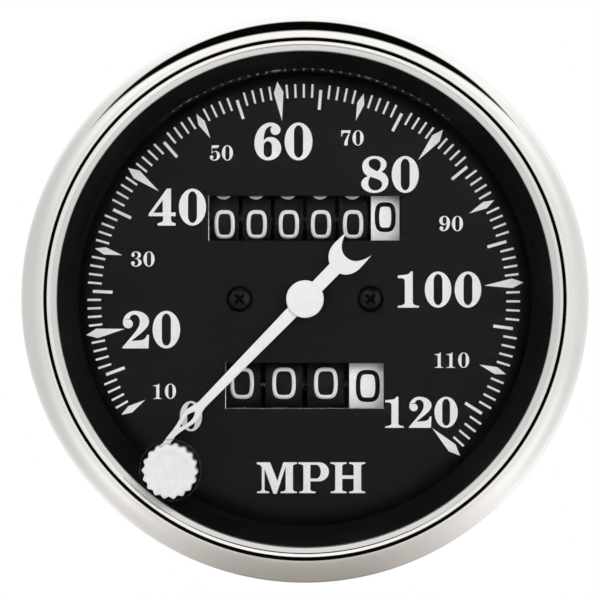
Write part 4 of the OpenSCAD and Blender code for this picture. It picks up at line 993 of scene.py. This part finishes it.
# %% Copy the screw, paint shade in its recess and round its head, and set both in place
RECESS_TOP = HEAD_TOP - 0.12
copy = head.copy()
copy.data = head.data.copy()
copy.name = "dial_screw_right"
bpy.context.collection.objects.link(copy)
for screw, x in ((head, -SCREW_X), (copy, SCREW_X)):
    hand_over(screw, FINISHES["screw_black"], "housing", "screw_black", "dial_screws")
    screw.data.materials.append(SHADOW_BLACK)
    recess = 0
    # Painted shade: the ring round the head and the faces in the recess get unlit black.
    for face in screw.data.polygons:
        reach = hypot(face.center.x, face.center.z) / MM
        shadow_ring = reach > HEAD_RADIUS
        inside = reach < ARM_LENGTH / 2 and -face.center.y / MM < RECESS_TOP
        if shadow_ring or inside:
            face.material_index = 1
            recess += 1
    screw.location.x = x * MM
    apply_place(screw)
    print("unlit faces:", recess)

# %% [markdown]
# ## The numbers on the drums
#
# The drums carry a plainer numeral: one even stroke with rounded corners. A stroke is drawn as a centre
# line and given its width by sweeping a short straight edge along it, as a flat brush does. The flat
# numeral is then wrapped round the drum: a height on the sheet becomes an angle on the barrel. Solidify
# then gives the ink its thickness.
#
# The fastest drum of each counter is white with black figures, all others are black with white ones. The
# figures roll upwards, so nine stands above zero.

# %% Centre lines of the drum figures, one unit square
FIGURES = [[[(0, 0.5), ("c", 0, 0.71, 0.03, 0.83, 0.1, 0.91), ("c", 0.18, 1, 0.33, 1, 0.5, 1),
             ("c", 0.67, 1, 0.82, 1, 0.9, 0.91), ("c", 0.97, 0.83, 1, 0.71, 1, 0.5),
             ("c", 1, 0.29, 0.97, 0.17, 0.9, 0.09), ("c", 0.82, 0, 0.67, 0, 0.5, 0),
             ("c", 0.33, 0, 0.18, 0, 0.1, 0.09), ("c", 0.03, 0.17, 0, 0.29, 0, 0.5)]],
           [[(0.25, 0.72), (0.55, 0.9), (0.55, 0)]],
           [[(0.03, 0.74), ("v", 0.5, 1), ("h", 0.97, 0.74), ("c", 0.97, 0.45, 0.03, 0.4, 0.03, 0),
             (1, 0)]],
           [[(0.03, 0.8), ("v", 0.5, 1), ("h", 0.94, 0.76), ("v", 0.42, 0.53)],
            [(0.42, 0.53), ("h", 1, 0.27), ("v", 0.48, 0), ("h", 0, 0.2)]],
           [[(0.72, 0), (0.72, 1), (0, 0.3), (1, 0.3)]],
           [[(0.94, 1), (0.12, 1), (0.06, 0.52), ("c", 0.2, 0.63, 0.35, 0.64, 0.48, 0.64), ("h", 1, 0.32),
             ("v", 0.48, 0), ("h", 0, 0.18)]],
           [[(0.9, 0.86), ("v", 0.52, 1), ("h", 0, 0.4), (0, 0.31), ("v", 0.5, 0), ("h", 1, 0.3),
             ("v", 0.5, 0.59), ("h", 0, 0.31)]],
           [[(0, 1), (1, 1), ("c", 0.65, 0.65, 0.42, 0.35, 0.38, 0)]],
           [[(0.5, 0.54), ("h", 0.06, 0.77), ("v", 0.5, 1), ("h", 0.94, 0.77), ("v", 0.5, 0.54)],
            [(0.5, 0.54), ("h", 0, 0.27), ("v", 0.5, 0), ("h", 1, 0.27), ("v", 0.5, 0.54)]]]
FIGURES.append(half_turn(FIGURES[6], 1))
print("drum figures:", len(FIGURES))


# %% Tools to sweep a figure and to wrap it round a drum
def figure_sheet(name, digit, width, height, stroke):
    """One flat figure, with its middle at the origin, swept with a flat edge."""
    bpy.ops.curve.primitive_bezier_curve_add()
    edge = bpy.context.object
    edge.data.splines.clear()
    edge.data.dimensions = "2D"
    draw(edge, [(-stroke / 2, 0), (stroke / 2, 0)], closed=False)
    sheet = sheet_of(name, filled=False)
    corner = ((stroke - width) / 2, (stroke - height) / 2)
    for path in FIGURES[digit]:
        ring = Vector(path[0]) == Vector(path[-1][-2:])
        draw(sheet, path, height - stroke, corner, (width - stroke) / (height - stroke), closed=ring)
    sheet.data.bevel_mode = "OBJECT"
    sheet.data.bevel_object = edge
    only(sheet)
    bpy.ops.object.convert(target="MESH")
    bpy.data.objects.remove(edge)
    return bpy.context.object


def wrap(piece, centre, radius, angle):
    """Lays a flat piece round a barrel that runs along x."""
    for vertex in piece.data.vertices:
        across, up, _ = vertex.co
        lift = angle + up / radius
        vertex.co = (centre + Vector((across, -radius * cos(lift), radius * sin(lift)))) * MM
    return piece


def number_drum(node, body, width, height, stroke, shift, material, slot):
    """All ten figures of one drum, shifted up by a distance, joined as one piece."""
    centre = middle(node)
    radius = DRUM_RADIUS + INK
    figures = []
    for digit in range(10):
        flat = figure_sheet(node + "_figure", digit, width, height, stroke)
        figures.append(wrap(flat, centre, radius, shift / radius - digit * 2 * pi / 10))
    piece = weld(join(figures, node + "_figures"))
    film = piece.modifiers.new("film", "SOLIDIFY")
    film.thickness = INK * MM
    film.offset = 0
    bpy.ops.object.modifier_apply(modifier="film")
    return hand_over(weld(piece), material, body, slot)


# %% Number the ten drums
WHITE_FIGURE = {"odometer": (3.3, 4.68, 0.62, -1.0), "trip": (3.85, 5.15, 0.63, 0.36)}
BLACK_FIGURE = {"odometer": (3.4, 4.85, 0.72, 0.2), "trip": (3.9, 5.25, 0.74, -0.1)}
for counter, places, last_body in (("odometer", 6, "odometer_tenths_group"), ("trip", 4, "trip_shaft_group")):
    for place in range(1, places):
        number_drum(f"{counter}_drum_{place}", f"{counter}_drum_{place}_group", *WHITE_FIGURE[counter],
                    FIGURE_WHITE, "pointer_white")
    number_drum(f"{counter}_drum_{places}", last_body, *BLACK_FIGURE[counter], PRINT_BLACK, "screw_black")

# %% [markdown]
# ## Threads on the back
#
# A drive cable screws on to the coupling, and a clamp hangs on the two studs, so all three carry real
# threads. A blank is turned with many fine rows, then each point is drawn in or left out by how far along
# the helix it stands: the angle round the axis is added to the level before the groove is measured. The
# groove fades at both ends, as a die leaves it. A Screw modifier would make the helix too, but it leaves
# open ends.

# %% Tools for threads
ROWS_PER_TURN = 8
SKIN = 0.01


def threaded_rows(radius, start, end, pitch):
    rows = int((start - end) / pitch * ROWS_PER_TURN)
    return [(radius, end + (start - end) * row / rows) for row in range(rows + 1)]


def cut_thread(piece, centre, radius, depth, pitch, start, end):
    for vertex in piece.data.vertices:
        level = -vertex.co.y / MM
        x = vertex.co.x / MM - centre[0]
        z = vertex.co.z / MM - centre[1]
        if hypot(x, z) > radius - SKIN and end <= level <= start:
            turns = level / pitch + atan2(z, x) / (2 * pi)
            fade = min(1.0, (level - end) / pitch, (start - level) / pitch)
            reach = 1 - depth * fade * abs(2 * (turns % 1) - 1) / radius
            vertex.co.x = (centre[0] + x * reach) * MM
            vertex.co.z = (centre[1] + z * reach) * MM


# %% Turn the coupling and cut its thread
BACK = back_level("case_can")
END = back_level("drive_coupling")
COUPLING = 7.94
COUPLING_PITCH = 1.41
COUPLING_DEPTH = 0.75
COUPLING_CHAMFER = 0.7
NECK = 7.34
BORE = 5.0
MOUTH = 0.4
COLLAR = 10.5
COLLAR_BACK = BACK - 2
STAKE = BACK + 2.2
THREAD = (BACK - 2.5, END + COUPLING_CHAMFER)
coupling_profile = [(BORE + MOUTH, END), (COUPLING - COUPLING_CHAMFER, END),
                    *threaded_rows(COUPLING, *THREAD, COUPLING_PITCH), (NECK, THREAD[0]),
                    (NECK, COLLAR_BACK), (COLLAR - MOUTH, COLLAR_BACK), (COLLAR, COLLAR_BACK + MOUTH),
                    (COLLAR, BACK), (NECK, BACK), (NECK, STAKE), (BORE, STAKE), (BORE, END + MOUTH),
                    (BORE + MOUTH, END)]
coupling = turned("cable_coupling", coupling_profile, steps=72, smoothness=1)
cut_thread(coupling, (0, 0), COUPLING, COUPLING_DEPTH, COUPLING_PITCH, *THREAD)
hand_over(coupling, FINISHES["brass"], "housing", "brass", "drive_coupling")

# %% Turn the studs and cut their threads
STUD = 2.4
STUD_NECK = 2.0
STUD_PITCH = 0.8
STUD_DEPTH = 0.42
STUD_CHAMFER = 0.5
STUD_X = 27.0
RIVET = BACK + 1.5
STUD_THREAD = (BACK - 0.5, END + STUD_CHAMFER)
stud_profile = [(0, END), (STUD - STUD_CHAMFER, END), *threaded_rows(STUD, *STUD_THREAD, STUD_PITCH),
                (STUD_NECK, STUD_THREAD[0]), (STUD_NECK, RIVET), (0, RIVET)]
for side, x in (("left", -STUD_X), ("right", STUD_X)):
    stud = turned("clamp_stud_" + side, stud_profile, steps=40, smoothness=1, centre=(x, 0), closed=False)
    cut_thread(stud, (x, 0), STUD, STUD_DEPTH, STUD_PITCH, *STUD_THREAD)
    hand_over(stud, FINISHES["steel"], "housing", "steel", "mount_studs")

# %% [markdown]
# ## The lamp sockets
#
# Two sockets are pushed into the back and hold the bulbs that light the dial. A drawn tube has no sharp
# edge, so its end and its rim are rounded: a sharp corner shows no line of light, and that alone makes
# metal look like paper.

# %% Turn the lamp sockets
SOCKET_RIM = half_size("lamp_holders").z
SOCKET = SOCKET_RIM - 1
SOCKET_X = right_reach("lamp_holders") - SOCKET_RIM
SOCKET_Z = middle("lamp_holders").z
SOCKET_END = back_level("lamp_holders")
SOCKET_FRONT = front_level("lamp_holders")
CAP = half_size("lamp_bulbs").z
SOCKET_ROUND = 0.8
RIM_BACK = BACK - 1.2
RIM_ROUND = 0.4
socket_profile = [(0, SOCKET_END), (SOCKET - SOCKET_ROUND, SOCKET_END),
                  ("h", SOCKET, SOCKET_END + SOCKET_ROUND), (SOCKET, RIM_BACK),
                  (SOCKET_RIM - RIM_ROUND, RIM_BACK), ("h", SOCKET_RIM, RIM_BACK + RIM_ROUND),
                  (SOCKET_RIM, BACK), (SOCKET, BACK), (SOCKET, SOCKET_FRONT), (CAP, SOCKET_FRONT),
                  (CAP, BACK), (0, BACK)]
socket_slot = SLOTS["lamp_holders"]
for side, x in (("left", -SOCKET_X), ("right", SOCKET_X)):
    socket = turned("lamp_socket_" + side, socket_profile, steps=72, smoothness=6, centre=(x, SOCKET_Z),
                    closed=False)
    hand_over(socket, FINISHES[socket_slot], "housing", socket_slot, "lamp_holders")

# %% [markdown]
# ## The portrait
#
# The gauge is photographed straight on from far away, so that the rings stay concentric: a long lens at a
# metre and a half does that without any shift. The picture is as wide as 96.8 mm at the bezel.

# %% Set up the camera
PICTURE_WIDTH = 96.77
CAMERA_DISTANCE = 1500.0
SENSOR = 36.0
CAMERA_PLACE = Vector((-0.8, -CAMERA_DISTANCE, -0.15)) * MM
bpy.ops.object.camera_add(location=CAMERA_PLACE, rotation=(pi / 2, 0, 0))
camera = bpy.context.object
camera.name = "portrait_camera"
camera.data.sensor_width = SENSOR
camera.data.lens = SENSOR * (CAMERA_DISTANCE - BEZEL_TOP + BAND) / PICTURE_WIDTH
camera.data.clip_end = 20
scene = bpy.context.scene
scene.camera = camera
scene.view_settings.view_transform = "Standard"
print("lens", round(camera.data.lens), "mm")

# %% [markdown]
# Chrome is a picture of the room, so the room is painted to suit: a white tent that is greyer on both
# sides, and a dark flag above that draws the black crescent on the upper bezel. The flag has the outline
# of a lens, so the crescent runs out to a thin tail at both ends. A small dark spot stands where the
# camera is, or the flat glass would mirror the white tent over the whole dial.
#
# The same effect can be had with planes and lamps, but a world that reads the direction of a ray needs no
# objects and makes no noise.

# %% Paint the room
world = bpy.data.worlds.new("photo_tent")
scene.world = world
world.use_nodes = True
room = world.node_tree
direction = add_node(room, "ShaderNodeTexCoord", {}).outputs["Generated"]
side, depth, height = add_node(room, "ShaderNodeSeparateXYZ", {0: direction}).outputs
camera_ray = add_node(room, "ShaderNodeLightPath", {}).outputs["Is Camera Ray"]
level = between(room, reckon(room, "ABSOLUTE", height), 0.45, 0.05)
left = reckon(room, "MULTIPLY", level, between(room, side, 0.0, -0.2))
right = reckon(room, "MULTIPLY", level, between(room, side, 0.0, 0.2))
far_left = between(room, side, -0.3, -0.95)
far_right = between(room, side, 0.6, 1.0)
camera_spot = between(room, depth, -0.9985, -0.9992)
print("room directions:", len(room.nodes), "nodes")

# %% Hang the flag and lay the greys over each other
FLAG_TURN = 2.02
FLAG_HALF = 0.51
FLAG_REACH = 0.88
FLAG_SOFT = 0.10
around = reckon(room, "DIVIDE", reckon(room, "ARCTAN2", side, height), FLAG_REACH)
bow = reckon(room, "MULTIPLY", reckon(room, "MULTIPLY", around, around), FLAG_HALF)
off = reckon(room, "SUBTRACT", reckon(room, "ARCCOSINE", depth), FLAG_TURN)
off = reckon(room, "ADD", reckon(room, "ABSOLUTE", off), bow)
flag = between(room, off, FLAG_HALF + FLAG_SOFT, FLAG_HALF - FLAG_SOFT)
walls = grey(1.0)
for shade, mask in ((0.72, left), (0.78, right), (0.62, far_left), (0.72, far_right), (0.002, flag),
                    (0.003, camera_spot), (1.0, camera_ray)):
    walls = mixed(room, "RGBA", mask, walls, grey(shade))
room.links.new(walls, room.nodes["Background"].inputs["Color"])
print("room painted with", len(room.nodes), "nodes")

# %% [markdown]
# Two broad lamps lift the white printing without showing up in the chrome. A strip of warm grey card lies
# just below the picture, and the foot of the bezel mirrors it. It turns clear towards both sides, so the
# mirror image fades. A pale table top stands further down, for the light that it throws back.

# %% Add the lamps
LAMP_POWER = 6.1
LAMP_SIZE = 0.8


def add_lamp(name, place):
    bpy.ops.object.light_add(type="AREA", location=place)
    lamp = bpy.context.object
    lamp.name = name
    lamp.data.energy = LAMP_POWER
    lamp.data.size = LAMP_SIZE
    lamp.rotation_euler = (-Vector(place)).to_track_quat("-Z", "Y").to_euler()
    lamp.visible_glossy = False


add_lamp("lamp_upper_left", (-0.7, -1.2, 0.9))
add_lamp("lamp_right", (0.9, -1.3, 0.3))
print("lamps:", LAMP_POWER, "watts each")

# %% Lay the card and the table top
CARD_SIZE = (0.13, 0.23, 1)
CARD_PLACE = (0, -0.085, -0.052)
CARD_FADE = (0.008, 0.06)
TABLE_RADIUS = 0.9
TABLE_LEVEL = -0.12


def make_card():
    material = finish("warm_grey_card", tone(0.65, 0.62, 0.59), tone(0.69, 0.66, 0.63), 20.0, (0.7, 0.8),
                      shine=0.1)
    tree = material.node_tree
    fade = between(tree, reckon(tree, "ABSOLUTE", place_parts(tree)["X"]), *CARD_FADE, 1.0, 0.0)
    tree.links.new(fade, tree.nodes["Principled BSDF"].inputs["Alpha"])
    return material


bpy.ops.mesh.primitive_plane_add(size=1)
card = bpy.context.object
card.name = "grey_card"
card.scale = CARD_SIZE
card.location = CARD_PLACE
apply_place(card)
card.data.materials.append(make_card())
card.visible_camera = False
card.visible_shadow = False
bpy.ops.mesh.primitive_circle_add(vertices=96, radius=TABLE_RADIUS, fill_type="NGON",
                                  location=(0, 0, TABLE_LEVEL))
table = apply_place(bpy.context.object)
table.name = "table_top"
table.data.materials.append(finish("table_top", grey(0.93), grey(0.96), 30.0, (0.6, 0.7), shine=0.1))
table.visible_glossy = False
print("staged:", card.name, table.name)

# %% Update the view layer and finish
bpy.context.view_layer.update()
